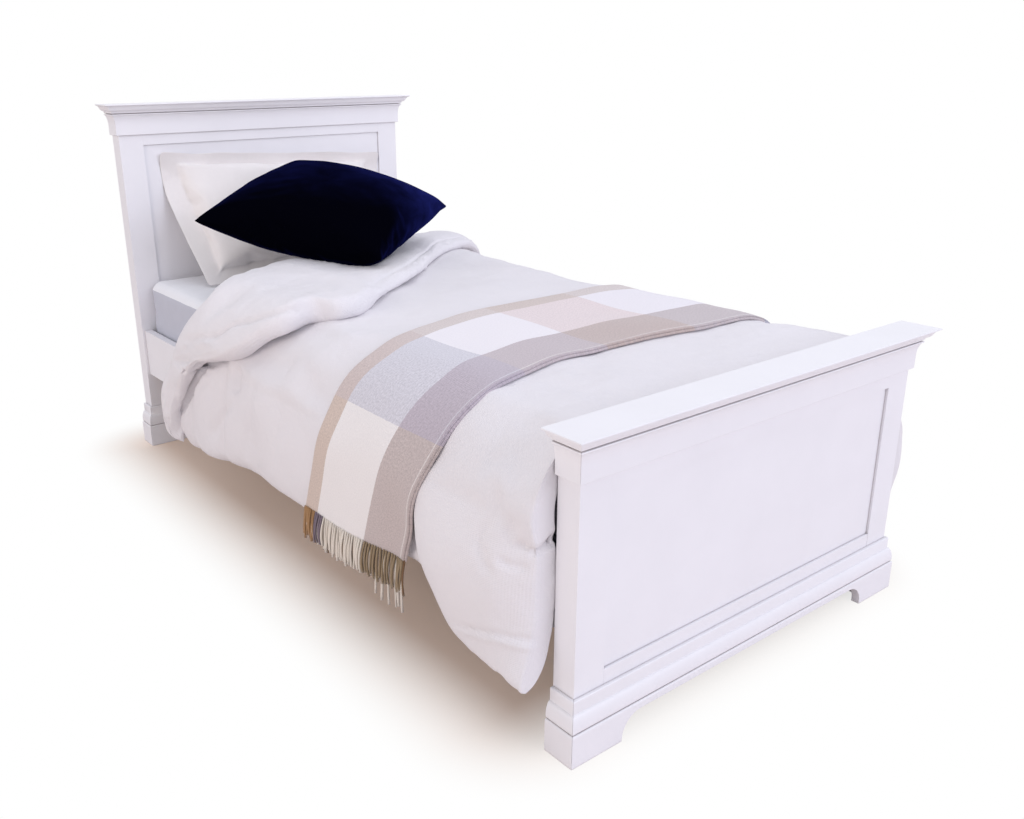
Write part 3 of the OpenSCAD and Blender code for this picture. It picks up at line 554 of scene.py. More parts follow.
class BED_OT_slats(bpy.types.Operator):
    """Gives the slats, ledgers, dowels, tapes and steel fittings their materials"""
    bl_idname = "bed.slats"
    bl_label = "Slats and Fittings"

    def execute(self, context):
        look = context.scene.bed_colours
        # material by the start of the node's name; where two fit, the longer one holds
        finishes = {
            "slat_": bare_softwood(list(look.pine), 0),
            "slat_ledger": bare_softwood(list(look.pine), 1),
            "slat_webbing": cotton("cotton_tape", list(look.tape), 0.003, 0.5, 0.1, on_uv=False),
            "cap_dowels": turned_beech(linear("cfa778")),
            "rail_hook": zinc_plated_steel("pressed_steel", linear("9a9da2"), 0.38),
            "post_keeper": zinc_plated_steel("pressed_steel_plate", linear("9a9da2"), 0.38),
            "plate_screws": zinc_plated_steel("zinc_screws", linear("c3c6ca"), 0.28),
        }
        finishes["ledger_screws"] = finishes["slat_screws"] = finishes["plate_screws"]
        for node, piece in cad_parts.items():
            fitting = [start for start in finishes if node.startswith(start)]
            if fitting:
                piece.data.materials.clear()
                piece.data.materials.append(finishes[max(fitting, key=len)])
        return {"FINISHED"}


# ---- Mattress and sheet

def cut_through(bm, place, normal):
    """Cuts every face that the plane passes through."""
    bmesh.ops.bisect_plane(bm, geom=bm.verts[:] + bm.edges[:] + bm.faces[:], dist=1e-6,
                           plane_co=place, plane_no=normal)


def rounded_block(low, high, radius, cell):
    """A block with rounded edges whose faces are cut into cells of about the given size."""
    bm = bmesh.new()
    bmesh.ops.create_cube(bm, size=1.0)
    bmesh.ops.scale(bm, vec=high - low, verts=bm.verts)
    bmesh.ops.translate(bm, vec=(low + high) / 2, verts=bm.verts)
    bmesh.ops.bevel(bm, geom=bm.edges[:], offset=radius, offset_type="OFFSET", segments=5,
                    profile=0.5, affect="EDGES", material=-1)
    for axis in range(3):
        count = ceil((high[axis] - low[axis]) / cell)
        normal = Vector([1.0 if i == axis else 0.0 for i in range(3)])
        for i in range(1, count):
            cut_through(bm, low + (high - low) * (i / count), normal)
    return bm


class BED_OT_mattress(bpy.types.Operator):
    """Builds the mattress with its quilted underside, its mesh cut through near the top and bottom
    edges
    """
    bl_idname = "bed.mattress"
    bl_label = "Mattress"

    def execute(self, context):
        low, high = MATTRESS
        quilt_size, quilt_depth, tape_in = 0.09, 0.004, 0.028
        inset = Vector((0.002, 0.002, 0.002))
        bm = rounded_block(low + inset, high - inset, 0.03, 0.04)
        for vertex in bm.verts:
            x, y, z = vertex.co
            crown = abs(sin(pi * x / quilt_size)) * abs(sin(pi * y / quilt_size))
            if low.z + 0.02 > z:
                vertex.co.z += quilt_depth * (1 - crown)
        for z in (low.z + tape_in, high.z - tape_in):
            cut_through(bm, (0, 0, z), (0, 0, 1))
        ticking = list(context.scene.bed_colours.ticking)
        fabric = cotton("mattress_ticking", ticking, 0.004, 0.4, 0.05, on_uv=False)
        piece = new_piece("mattress_ticking", bm, [fabric])
        join_to_bed(piece, "mattress")
        return {"FINISHED"}


class BED_OT_fitted_sheet(bpy.types.Operator):
    """Stretches the fitted sheet over the mattress, open beneath"""
    bl_idname = "bed.fitted_sheet"
    bl_label = "Fitted Sheet"

    def execute(self, context):
        low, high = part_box("fitted_sheet")
        turned_under = 0.07
        bm = rounded_block(low, high, 0.034, 0.025)
        under = [f for f in bm.faces if f.normal.z < -0.9
                 and abs(f.calc_center_median().x) < high.x - turned_under
                 and low.y + turned_under < f.calc_center_median().y < high.y - turned_under]
        bmesh.ops.delete(bm, geom=under, context="FACES")
        for vertex in bm.verts:
            x, y, z = vertex.co
            side = smooth_step(high.z - 0.01, high.z - 0.06, z)
            # drag lines on the sides, pleats at the corners, and slight hollows on top
            drag = 0.0042 * ripple(x * 2.5 + z, y * 2.5 + z, z * 0.6, 0.09)
            corner = bell(abs(x), high.x, 0.12) * bell(abs(y), high.y, 0.12)
            pleat = 0.003 * sin(z * 150) * corner
            fall = 0.0022 * (ripple(x, y, 0.0, 0.09) + 0.5 * ripple(x, y, 0.0, 0.04))
            out = Vector((x / high.x, y / high.y, 0)) * (drag + pleat) * side
            vertex.co += Vector((out.x, out.y, 0)) * 0.8 + Vector((0, 0, min(0, fall))) * (1 - side)
        top = list(context.scene.bed_colours.sheet)
        # painted shade: the sides get a darker, bluer copy of the jersey, as they face away from
        # the light
        sides = [c * share for c, share in zip(top, (0.63, 0.64, 0.70, 1))]
        lit_and_shaded_jersey = [cotton(name, colour, 0.0035, 0.25, 0.15, on_uv=False)
                   for name, colour in (("cotton_jersey", top), ("jersey_painted_shade", sides))]
        # faces that turn to the side take the copy with the painted shade
        for face in bm.faces:
            face.material_index = int(face.normal.z < 0.45)
        piece = new_piece("fitted_sheet_jersey", bm, lit_and_shaded_jersey)
        cloth_wall(piece, 0.001, 1.0)
        join_to_bed(piece, "fitted_sheet")
        return {"FINISHED"}


# ---- Duvet

DRAPE_TOP = MATTRESS[1].x - 0.025
DRAPE_X = RAIL_OUT + 0.015
SHOULDER_W = DRAPE_X - DRAPE_TOP
SHOULDER_H = 0.095
UNDER = BED_TOP + 0.001

# Each line below gives a value at places across the duvet: -3 is the left hem, -2 to -1 the left
# shoulder, 1 to 2 the right shoulder, 3 the right hem. Distances are metres from the footboard.
CREST = [(-3.0, 1.455), (-2.6, 1.465), (-2.3, 1.445), (-2.0, 1.40), (-1.75, 1.35), (-1.5, 1.31),
         (-1.35, 1.29), (-1.2, 1.30), (-1.0, 1.345), (-0.87, 1.385), (-0.5, 1.43), (0.0, 1.485),
         (0.5, 1.55), (0.9, 1.60), (1.5, 1.61), (3.0, 1.60)]
FLAP = [(-3.0, 0.04), (-2.6, 0.07), (-2.3, 0.11), (-2.1, 0.14), (-1.97, 0.16), (-1.9, 0.197),
        (-1.81, 0.258), (-1.64, 0.306), (-1.39, 0.343), (-1.0, 0.418), (-0.86, 0.508),
        (-0.74, 0.517), (-0.66, 0.50), (-0.285, 0.409), (0.093, 0.340), (0.7, 0.196),
        (1.14, 0.145), (1.5, 0.10), (3.0, 0.05)]
TURN = [(-3.0, 0.014), (-2.6, 0.018), (-2.2, 0.020), (-2.1, 0.022), (-2.0, 0.028), (0.6, 0.029),
        (1.0, 0.028), (1.5, 0.026), (3.0, 0.018)]
# Height of the hem above the floor by distance from the footboard, on either side
HEM_LEFT = [(0.0, 0.133), (0.03, 0.134), (0.065, 0.139), (0.124, 0.137), (0.2, 0.138),
            (0.23, 0.150), (0.25, 0.168), (0.275, 0.193), (0.30, 0.215), (0.33, 0.228),
            (0.38, 0.230), (0.45, 0.22), (0.6, 0.2), (0.834, 0.186), (1.04, 0.187), (1.13, 0.175),
            (1.222, 0.165), (1.36, 0.165), (1.43, 0.205), (1.48, 0.235), (1.52, 0.25)]
HEM_RIGHT = [(0.0, 0.06), (0.2, 0.09), (0.5, 0.10), (0.9, 0.085), (1.3, 0.10)]
# How far the left hem stands out, and how far either side bellies out above its hem
HEM_OUT = [(0.0, 0.036), (0.05, 0.026), (0.15, 0.014), (0.25, 0.0), (0.4, 0.010), (0.9, 0.02),
           (1.3, 0.03), (1.5, 0.055), (1.6, 0.07)]
BELLY_LEFT = [(0.0, -0.012), (0.03, 0.001), (0.08, 0.030), (0.2, 0.040), (0.36, 0.014),
              (0.55, 0.012), (0.9, 0.016), (1.2, 0.022), (1.5, 0.022)]
BELLY_RIGHT = [(0.0, 0.09), (0.06, 0.115), (0.2, 0.05), (0.45, 0.02), (1.6, 0.025)]
# Upright folds of either side: depth, distance from the footboard, width
FOLDS_LEFT = [(0.020, 1.17, 0.035), (0.010, 1.34, 0.04), (0.008, 0.98, 0.05),
              (0.016, 0.335, 0.03)]
FOLDS_RIGHT = [(0.018, 0.25, 0.05), (0.015, 0.62, 0.05), (0.02, 1.1, 0.06)]
# How far the left side is drawn in where it is tucked beside the foot post
FOOT_TUCK = 0.014


def side_swell(q, y, share):
    """How far the hanging part stands out past a straight fall."""
    belly = sin(pi * share ** 0.8)
    folds = sum(depth * bell(y, middle, width)
                for depth, middle, width in (FOLDS_LEFT if q < 0 else FOLDS_RIGHT))
    if q < 0:
        swell = (belly * track(BELLY_LEFT, y)
                 + share ** (2 + 2 * bell(y, 0.0, 0.1)) * track(HEM_OUT, y))
        return swell - folds * smooth_step(0.02, 0.5, share) * (1.15 - 0.5 * share)
    return belly * track(BELLY_RIGHT, y) - folds * smooth_step(0.05, 0.6, share)


def drape(q, y):
    """Underside of the duvet at a place across it and a distance from the footboard, with the
    direction out of the bed there."""
    side, m = (1 if q >= 0 else -1), abs(q)
    turn = pi / 2 * min(1.0, max(0.0, m - 1))
    share = max(0.0, m - 2)
    fall = UNDER - SHOULDER_H - track(HEM_LEFT if q < 0 else HEM_RIGHT, y)
    x = DRAPE_TOP * min(1.0, m) + SHOULDER_W * sin(turn)
    z = UNDER - SHOULDER_H * (1 - cos(turn)) - share * fall
    if share > 0:
        x += side_swell(q, y, share)
    if q < 0:
        x -= FOOT_TUCK * smooth_step(0.04, 0.0, y) * smooth_step(1.4, 2.0, m)
    lean = atan2(SHOULDER_H * sin(turn), SHOULDER_W * cos(turn))
    return Vector((side * x, FOOT_FACE + y, z)), Vector((side * sin(lean), 0, cos(lean)))


FLAT_ROWS, TURN_ROWS, FLAP_ROWS = 88, 8, 32
# Share of the flat part's length that its rows have reached: they are closest at the foot
FLAT_REACH = [(0, 0.0), (22, 0.115), (50, 0.55), (FLAT_ROWS, 1.0)]


def duvet_point(q, row, full):
    """Middle of the duvet at a place across it and a row from foot to head. Gives the point, the
    direction of the cover's outer face, and the distances to the foot seam and the head seam."""
    nose = track(TURN, q)
    flat = track(CREST, q) - full / 2 - nose
    flap = max(0.012, track(FLAP, q) - nose)
    end = flat + pi * nose + flap
    if row <= FLAT_ROWS:
        along = flat * track(FLAT_REACH, row)
        point, up = drape(q, max(0.003, along))
        return point + up * full / 2, up, along, end - along
    if row <= FLAT_ROWS + TURN_ROWS:
        turn = pi * (row - FLAT_ROWS) / TURN_ROWS
        point, up = drape(q, flat + nose * sin(turn))
        middle = point + up * (full / 2 + nose * (1 - cos(turn)))
        outer = up * cos(turn) - Vector((0, sin(turn), 0))
        return middle, outer, flat + nose * turn, end - flat - nose * turn
    back = flap * (row - FLAT_ROWS - TURN_ROWS) / FLAP_ROWS
    point, up = drape(q, flat - back)
    resting = full * 1.02 * (1 + 0.09 * smooth_step(-0.42, -0.6, q))
    rise = resting + (2 * nose - resting) * (1 - smooth_step(0.0, 0.2, back))
    return point + up * (full / 2 + rise), -up, end - flap + back, flap - back


def duvet_places():
    """Places across the duvet, about evenly spaced along the cloth."""
    def run(a, b, n):
        return [a + (b - a) * i / n for i in range(n)]
    return (run(-3, -2, 30) + run(-2, -1, 14) + run(-1, -0.5, 15) + run(-0.5, 1, 26)
            + run(1, 2, 6) + run(2, 3, 11) + [3.0])


def closing(distance, reach):
    """1 inside the cover, falling to 0 in a round edge at its seam."""
    t = min(1.0, max(0.0, distance / reach))
    return sqrt(max(0.0, 1 - (1 - t) ** 2.2))


# Creases and seams of the fold-back, of what hangs below it and of the foot corner with its knot:
# height, width, and a line of points on the duvet, in metres
CREASES = [
    (-0.010, 0.007, [(-.564, -.907, .415), (-.558, -.923, .409), (-.538, -.929, .400),
                     (-.517, -.933, .401), (-.498, -.933, .410), (-.489, -.933, .418)]),
    (-0.005, 0.008, [(-.554, -.889, .461), (-.564, -.892, .444), (-.565, -.902, .419)]),
    (0.006, 0.008, [(-.528, -.932, .256), (-.498, -.932, .297), (-.487, -.933, .335)]),
    (-0.005, 0.005, [(-.576, -.756, .200), (-.578, -.833, .226), (-.571, -.876, .238),
                     (-.562, -.897, .238), (-.551, -.924, .239), (-.525, -.932, .233)]),
    (0.004, 0.006, [(-.576, -.756, .187), (-.578, -.833, .213), (-.571, -.876, .225),
                    (-.562, -.897, .225), (-.551, -.924, .226), (-.525, -.932, .220)]),
    (-0.006, 0.010, [(-.547, -.851, .452), (-.578, -.834, .400), (-.586, -.856, .368),
                     (-.579, -.872, .347)]),
    (-0.005, 0.007, [(-.566, -.875, .379), (-.554, -.895, .370), (-.539, -.924, .371)]),
    (-0.010, 0.014, [(-.57, -.610, .36), (-.57, -.595, .31), (-.57, -.605, .27)]),
    (-0.010, 0.014, [(-.56, .215, .50), (-.56, .210, .42), (-.56, .220, .30), (-.56, .245, .18)]),
    (-0.006, 0.010, [(-.57, .375, .38), (-.57, .405, .30), (-.57, .415, .20)]),
    (-0.009, 0.006, [(-.587, .356, .495), (-.580, .272, .517), (-.573, .195, .534),
                      (-.564, .166, .551), (-.548, .134, .574), (-.533, .081, .589),
                      (-.517, .048, .602), (-.498, .013, .615), (-.472, -.007, .626),
                      (-.449, -.017, .632), (-.407, -.024, .633)]),
    (-0.006, 0.006, [(-.585, .334, .505), (-.589, .259, .489), (-.590, .228, .484)]),
    (-0.006, 0.006, [(-.591, .352, .481), (-.592, .293, .470), (-.592, .256, .471)]),
    (0.006, 0.008, [(-.578, .252, .523), (-.580, .200, .517), (-.583, .155, .510)]),
    (-0.004, 0.006, [(-.593, .403, .462), (-.594, .364, .457), (-.594, .312, .458)]),
    (-0.004, 0.003, [(-.434, .021, .633), (-.410, .033, .633), (-.385, .039, .633)]),
    (-0.003, 0.003, [(-.368, .110, .633), (-.344, .119, .633), (-.338, .099, .633)]),
    (-0.020, 0.008, [(-.545, .304, .437), (-.554, .328, .415), (-.560, .351, .389),
                     (-.562, .386, .358), (-.563, .411, .335), (-.569, .433, .302),
                     (-.578, .465, .255)]),
    (-0.006, 0.004, [(-.573, .409, .324), (-.585, .460, .278), (-.594, .523, .230)]),
    (-0.004, 0.005, [(-.586, .415, .436), (-.589, .369, .428), (-.591, .328, .425),
                     (-.589, .281, .430)]),
    (-0.003, 0.005, [(-.604, .336, .374), (-.597, .286, .401)]),
    (-0.014, 0.008, [(-.583, .404, .432), (-.579, .357, .440), (-.579, .304, .449),
                     (-.578, .248, .462), (-.577, .207, .471)]),
    (-0.016, 0.020, [(-.538, .149, .467), (-.544, .149, .432), (-.554, .137, .399)]),
    (-0.008, 0.014, [(-.558, .146, .379), (-.551, .242, .303), (-.569, .297, .242)]),
    (-0.004, 0.012, [(-.536, .033, .479), (-.554, .049, .359), (-.561, .091, .257)]),
    (-0.003, 0.010, [(-.500, -.057, .546), (-.551, -.094, .399), (-.561, -.079, .273)]),
]
# The bunched knot of cloth beside the foot post, and the notch under it
KNOT = Vector((-0.550, -0.908, 0.447))
NOTCH = Vector((-0.490, -0.933, 0.412))


def to_line(point, normal, line):
    """Distance from a point of a surface to a line of points, measured along the surface, and how
    far along the line it is, 0 to 1. A line further off than 45 mm is on another part."""
    best, where = 9.0, 0.0
    for i, (start, end) in enumerate(zip(line, line[1:])):
        run = end - start
        t = min(1.0, max(0.0, (point - start).dot(run) / run.length_squared))
        gap = point - start - run * t
        off = gap.dot(normal)
        gap = (gap - normal * off).length
        if gap < best and abs(off) < 0.045:
            best, where = gap, (i + t) / (len(line) - 1)
    return best, where


def press_creases(places, normals):
    """Push outward of every point from the creases, each fading out at its ends."""
    pushes = [0.0] * len(places)
    margin = 0.05
    for height, width, line in CREASES:
        line = [Vector(point) for point in line]
        low = [min(point[axis] for point in line) - margin for axis in range(3)]
        high = [max(point[axis] for point in line) + margin for axis in range(3)]
        for index, (place, normal) in enumerate(zip(places, normals)):
            if not all(low[axis] < place[axis] < high[axis] for axis in (1, 2, 0)):
                continue
            gap, where = to_line(place, normal, line)
            if gap < width * 3:
                ends = min(1.0, 5 * where + 0.15, 5 * (1 - where) + 0.15)
                pushes[index] += height * exp(-(gap / width) ** 2) * ends
    return pushes


def corner_knot(place):
    """Movement of a point in the knot and its notch."""
    far, notch = (place - KNOT).length, (place - NOTCH).length
    return Vector((-0.008 * exp(-(far / 0.045) ** 4), 0.008 * exp(-(notch / 0.010) ** 2), 0))


def round_foot_edge(piece):
    """Rounds the upright edge that the hanging left side has beside the foot post."""
    bm = bmesh.new()
    bm.from_mesh(piece.data)
    edge = [v for v in bm.verts if v.co.x < -0.46 and 0.006 < v.co.y - FOOT_FACE < 0.06]
    for _ in range(8):
        bmesh.ops.smooth_vert(bm, verts=edge, factor=0.5, use_axis_x=True, use_axis_y=True,
                              use_axis_z=True)
    bm.to_mesh(piece.data)
    bm.free()


def hem_detail(q, to_end, x, y):
    """Push outward of the fold-back's seam and of the frills of its thin hem. The hem is plump
    left of q = -0.6, and the left side's own hem has neither."""
    if q <= -2.1:
        return 0.0
    thin = 1 - smooth_step(-0.42, -0.6, q)
    frill = thin * smooth_step(0.045, 0.02, to_end)
    return (frill * 0.006 * ripple(x * 1.6, y * 1.6, 0.0, 0.022)
            - thin * 0.004 * bell(to_end, 0.036, 0.005))


def keep_off_footboard(piece, gap):
    for vertex in piece.data.vertices:
        vertex.co.y = max(vertex.co.y, FOOT_FACE + gap)


CLEAR_OF_DUVET = ["fitted_sheet", "side_rail_left", "side_rail_right", "foot_post_left",
                  "foot_post_right", "foot_top_rail", "foot_bottom_rail", "foot_panel"]


def sewn_duvet(full):
    """The duvet's two layers of cloth, laid over the bed and folded back, closed at the seams.
    Its "place" layer keeps the place across and the distances to the foot and head seams."""
    across = duvet_places()
    columns, rows = len(across) - 1, FLAT_ROWS + TURN_ROWS + FLAP_ROWS
    bm = bmesh.new()
    bmesh.ops.create_grid(bm, x_segments=columns, y_segments=rows, size=0.5)
    kept = bm.verts.layers.float_vector.new("place")
    made = bmesh.ops.duplicate(bm, geom=bm.faces[:])["geom"]
    lower = set(new_verts(made))
    bmesh.ops.reverse_faces(bm, faces=new_faces(made))
    for vertex in bm.verts:
        side = -1 if vertex in lower else 1
        q = across[round((vertex.co.x + 0.5) * columns)]
        row = round((vertex.co.y + 0.5) * rows)
        middle, up, to_foot, to_head = duvet_point(q, row, full)
        # a side that hangs has 0.34 m of cloth for each step across
        to_hem = (3 - abs(q)) * (0.34 if abs(q) > 2 else 1)
        thin_hem = smooth_step(-0.6, -0.42, q)
        plump = 1 + 0.18 * smooth_step(FLAT_ROWS + 2, FLAT_ROWS + 14, row) * (1 - thin_hem)
        body = full * plump * closing(to_foot, 0.02) * closing(to_hem, 0.05)
        body *= closing(to_head, 0.024 + 0.07 * thin_hem)
        pockets = 1 + 0.12 * sin(2 * pi * (middle.y - FOOT_FACE) / 0.29) * sin(2 * pi * q / 1.15)
        place = middle + up * (side * body * pockets / 2)
        loose = min(1.0, min(to_foot, to_head, to_hem) / 0.05)
        soft = 0.006 * ripple(place.x, place.y, place.z + side, 0.16)
        soft += 0.003 * ripple(place.x * 1.6, place.y, place.z + side, 0.07)
        vertex[kept] = (q, to_foot, to_head if row > FLAT_ROWS else 9)
        vertex.co = place + up * (side * soft * loose)
    lay_uv(bm, lambda vertex: (vertex[kept][0] * 0.45, vertex[kept][1]))
    bmesh.ops.remove_doubles(bm, verts=bm.verts, dist=0.0008)
    return bm


class BED_OT_duvet(bpy.types.Operator):
    """Lays the filled duvet over the mattress, hangs its sides and folds its head end back"""
    bl_idname = "bed.duvet"
    bl_label = "Duvet"

    def execute(self, context):
        bm = sewn_duvet(context.scene.bed_sizes.duvet_thickness)
        linen = waffle_cotton(list(context.scene.bed_colours.linen))
        piece = new_piece("duvet_linen", bm, [linen])
        billow_out(piece, 1.8, 14, cap=0.014, shrink=-0.03)
        keep_off_footboard(piece, 0.0025)
        refine(piece)
        round_foot_edge(piece)
        normals = [v.normal.copy() for v in piece.data.vertices]
        pushes = press_creases([v.co.copy() for v in piece.data.vertices], normals)
        kept = piece.data.attributes["place"].data
        for vertex, normal, push in zip(piece.data.vertices, normals, pushes):
            q, to_foot, to_end = kept[vertex.index].vector
            outer = normal.dot(Vector((0.4 * (1 if q > 0 else -1), -0.3, 0.7))) > 0
            knot = corner_knot(vertex.co) if q < -1.4 else Vector()
            if q > -1.4:
                push *= smooth_step(0.0, 0.03, to_foot)
            if to_end < 0.2 and outer:
                push += hem_detail(q, to_end, vertex.co.x, vertex.co.y)
            fine = ripple(vertex.co.x + 5, vertex.co.y * 1.5, vertex.co.z, 0.035)
            vertex.co += normal * (push + 0.0012 * fine) + knot
        keep_off_footboard(piece, 0.0015)
        for name in CLEAR_OF_DUVET:
            press_on(piece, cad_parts[name], 0.001)
        join_to_bed(piece, "duvet")
        return {"FINISHED"}


# ---- Pillow and cushion

def filled_pad(name, width, height, cell, crown, material):
    """A sewn cover filled until it rounds out: two layers of cloth, closed at the seam. Gives the
    piece and the places of the seam's faces in its list."""
    bm = bmesh.new()
    bmesh.ops.create_grid(bm, x_segments=round(width / cell), y_segments=round(height / cell),
                          size=0.5)
    bmesh.ops.scale(bm, vec=(width, height, 1), verts=bm.verts)
    top = bmesh.ops.extrude_face_region(bm, geom=bm.faces[:])
    bmesh.ops.translate(bm, vec=(0, 0, 0.004), verts=new_verts(top["geom"]))
    lay_uv(bm, lambda vertex: vertex.co.xy)
    bmesh.ops.recalc_face_normals(bm, faces=bm.faces)
    settle_order(bm)
    seam = [f.index for f in bm.faces if abs(f.normal.z) < 0.5]
    for vertex in bm.verts:
        u, v = 2 * vertex.co.x / width, 2 * vertex.co.y / height
        rise = crown * (1 - abs(u) ** 3) * (1 - abs(v) ** 3)
        vertex.co.z += rise if vertex.co.z > 0.002 else -rise
        vertex.co.z += 0.002 * ripple(vertex.co.x, vertex.co.y, vertex.co.z * 9, 0.05)
    piece = new_piece(name, bm, [material])
    billow_out(piece, 1.6, 15, cap=0.12, stiffness=22, bending=0.15)
    return piece, seam


def square_up(piece, share):
    """Draws the hollow sides of a filled pad out towards straight lines between its corners."""
    places = [v.co for v in piece.data.vertices]
    half, last = 20, 40
    for axis in (0, 1):
        reach = max(place[axis] for place in places)
        span = max(place[1 - axis] for place in places)
        sides = [0.0] * (last + 1)
        for place in places:
            spot = round((place[1 - axis] / span + 1) * half)
            sides[spot] = max(sides[spot], abs(place[axis]))
        sides = [(sides[max(0, i - 1)] + sides[i] + sides[min(last, i + 1)]) / 3
                 for i in range(last + 1)]
        for place in places:
            where = min(last - 0.001, max(0.0, (place[1 - axis] / span + 1) * half))
            side = sides[int(where)] * (1 - where % 1) + sides[int(where) + 1] * (where % 1)
            place[axis] *= 1 + share * (reach / side - 1)


def stretch_to_corners(piece, corners, thickness, bend=0.0):
    """Moves a flat-lying pad so that its four corners reach the given points, in the order left
    front, right front, right back, left back. It gets the given thickness, and between its front
    and back it bends towards the headboard."""
    places = [v.co for v in piece.data.vertices]
    wide = max(place.x for place in places)
    deep = max(place.y for place in places)
    belly = thickness / (max(place.z for place in places) - min(place.z for place in places))
    a, b, c, d = [Vector(corner) for corner in corners]
    up = (c - a).cross(d - b).normalized()
    for vertex in piece.data.vertices:
        u, v = (vertex.co.x / wide + 1) / 2, (vertex.co.y / deep + 1) / 2
        ground = a * (1 - u) * (1 - v) + b * u * (1 - v) + c * u * v + d * (1 - u) * v
        sunk = Vector((0, bend * sin(pi * min(1.0, max(0.0, v)) ** 1.5), 0))
        vertex.co = ground + up * (vertex.co.z * belly) + sunk


PILLOW_CORNERS = [(-0.35, 0.75, 0.538), (0.415, 0.75, 0.538), (0.408, 0.965, 0.871),
                  (-0.374, 0.965, 0.914)]
FLANGE_STEPS, FLANGE_STEP = 4, 0.0125


def add_flange(piece, seam):
    """Grows the pillowcase's flange out of the faces of its seam."""
    bm = bmesh.new()
    bm.from_mesh(piece.data)
    bm.faces.ensure_lookup_table()
    ring = [bm.faces[i] for i in seam]
    reach = [max(v.co[axis] for v in bm.verts) for axis in (0, 1)]
    for step in range(1, FLANGE_STEPS + 1):
        made = bmesh.ops.extrude_face_region(bm, geom=ring)
        bmesh.ops.delete(bm, geom=ring, context="FACES_ONLY")
        ring = new_faces(made["geom"])
        for vertex in {v for f in ring for v in f.verts}:
            x, y, z = vertex.co
            # the flange grows out evenly and its hem runs straight, whatever its seam does
            half = [side + FLANGE_STEP * (step - 1) for side in reach]
            shares = [vertex.co[axis] / half[axis] for axis in (0, 1)]
            rim = 0 if abs(shares[0]) > abs(shares[1]) else 1
            shares[rim] += (copysign(1, shares[rim]) - shares[rim]) * step / FLANGE_STEPS
            for axis in (0, 1):
                vertex.co[axis] = shares[axis] * (half[axis] + FLANGE_STEP)
            vertex.co.z = z * 0.75 + 0.0022 * step * ripple(x, y, 0.0, 0.12)
    bm.to_mesh(piece.data)
    bm.free()
    piece.data.shade_smooth()


class BED_OT_pillow(bpy.types.Operator):
    """Fills the flanged pillow and leans it on the headboard"""
    bl_idname = "bed.pillow"
    bl_label = "Pillow"

    def execute(self, context):
        fabric = cotton("washed_cotton", list(context.scene.bed_colours.pillow), 0.004, 0.35, 0.12)
        piece, seam = filled_pad("pillow_cotton", 0.75, 0.50, 0.0135, 0.055, fabric)
        square_up(piece, 0.4)
        add_flange(piece, seam)
        stretch_to_corners(piece, PILLOW_CORNERS, 0.17, bend=0.075)
        for name in ("head_panel", "head_top_rail"):
            low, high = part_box(name)
            for vertex in piece.data.vertices:
                if low.z < vertex.co.z < high.z:
                    vertex.co.y = min(vertex.co.y, low.y - 0.0008)
        press_on(piece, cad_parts["fitted_sheet"], 0.0008)
        rounding(piece, "Subdivision")
        join_to_bed(piece, "pillow")
        return {"FINISHED"}


CUSHION_CORNERS = [(-0.435, 0.606, 0.757), (-0.088, 0.194, 0.662), (0.30, 0.421, 0.748),
                   (0.026, 0.851, 0.858)]


class BED_OT_cushion(bpy.types.Operator):
    """Fills the square velvet cushion and lays it across the fold and the pillow"""
    bl_idname = "bed.cushion"
    bl_label = "Velvet Cushion"

    def execute(self, context):
        look = context.scene.bed_colours
        velvet = cotton_velvet(list(look.velvet), list(look.velvet_sheen))
        piece, _ = filled_pad("velvet_cushion_cover", 0.58, 0.58, 0.0098, 0.06, velvet)
        stretch_to_corners(piece, CUSHION_CORNERS, 0.20)
        press_on(piece, bpy.data.objects["pillow_cotton"], 0.001)
        # the soft fold of the duvet gives way where the cushion sinks into it
        press_on(bpy.data.objects["duvet_linen"], piece, 0.001)
        rounding(piece, "Subdivision")
        join_to_bed(piece, "velvet_cushion")
        return {"FINISHED"}


# ---- Throw and fringe

# Edges of the throw, in metres from the footboard, by place across the bed
THROW_HEAD = [(-2.97, 0.725), (-2.80, 0.712), (-2.55, 0.692), (-2.20, 0.667), (-1.96, 0.656),
              (-1.61, 0.667), (-1.39, 0.667), (-1.07, 0.653), (-0.80, 0.668), (-0.65, 0.692),
              (-0.476, 0.715), (-0.30, 0.730), (0.0, 0.733), (0.59, 0.737),
              (1.24, 0.735), (1.7, 0.71), (2.3, 0.70), (2.97, 0.73)]
THROW_FOOT = [(-2.97, 0.325), (-2.67, 0.313), (-2.43, 0.297), (-2.05, 0.276), (-1.89, 0.266),
              (-1.71, 0.256), (-1.50, 0.248), (-1.36, 0.245), (-1.14, 0.235), (-0.95, 0.240),
              (-0.83, 0.253), (-0.72, 0.264), (-0.595, 0.279), (-0.40, 0.289), (-0.04, 0.288),
              (0.24, 0.284), (0.60, 0.262), (1.0, 0.270), (1.43, 0.290), (2.0, 0.27), (2.97, 0.30)]
THROW_LAYER = 0.0034
THROW_END = 2.97
THROW_ROWS, THROW_COLUMNS, FOLD_STEPS = 132, 24, 4
# Rows of each end that hang free of the duvet's side
HANGING_ROWS = 7


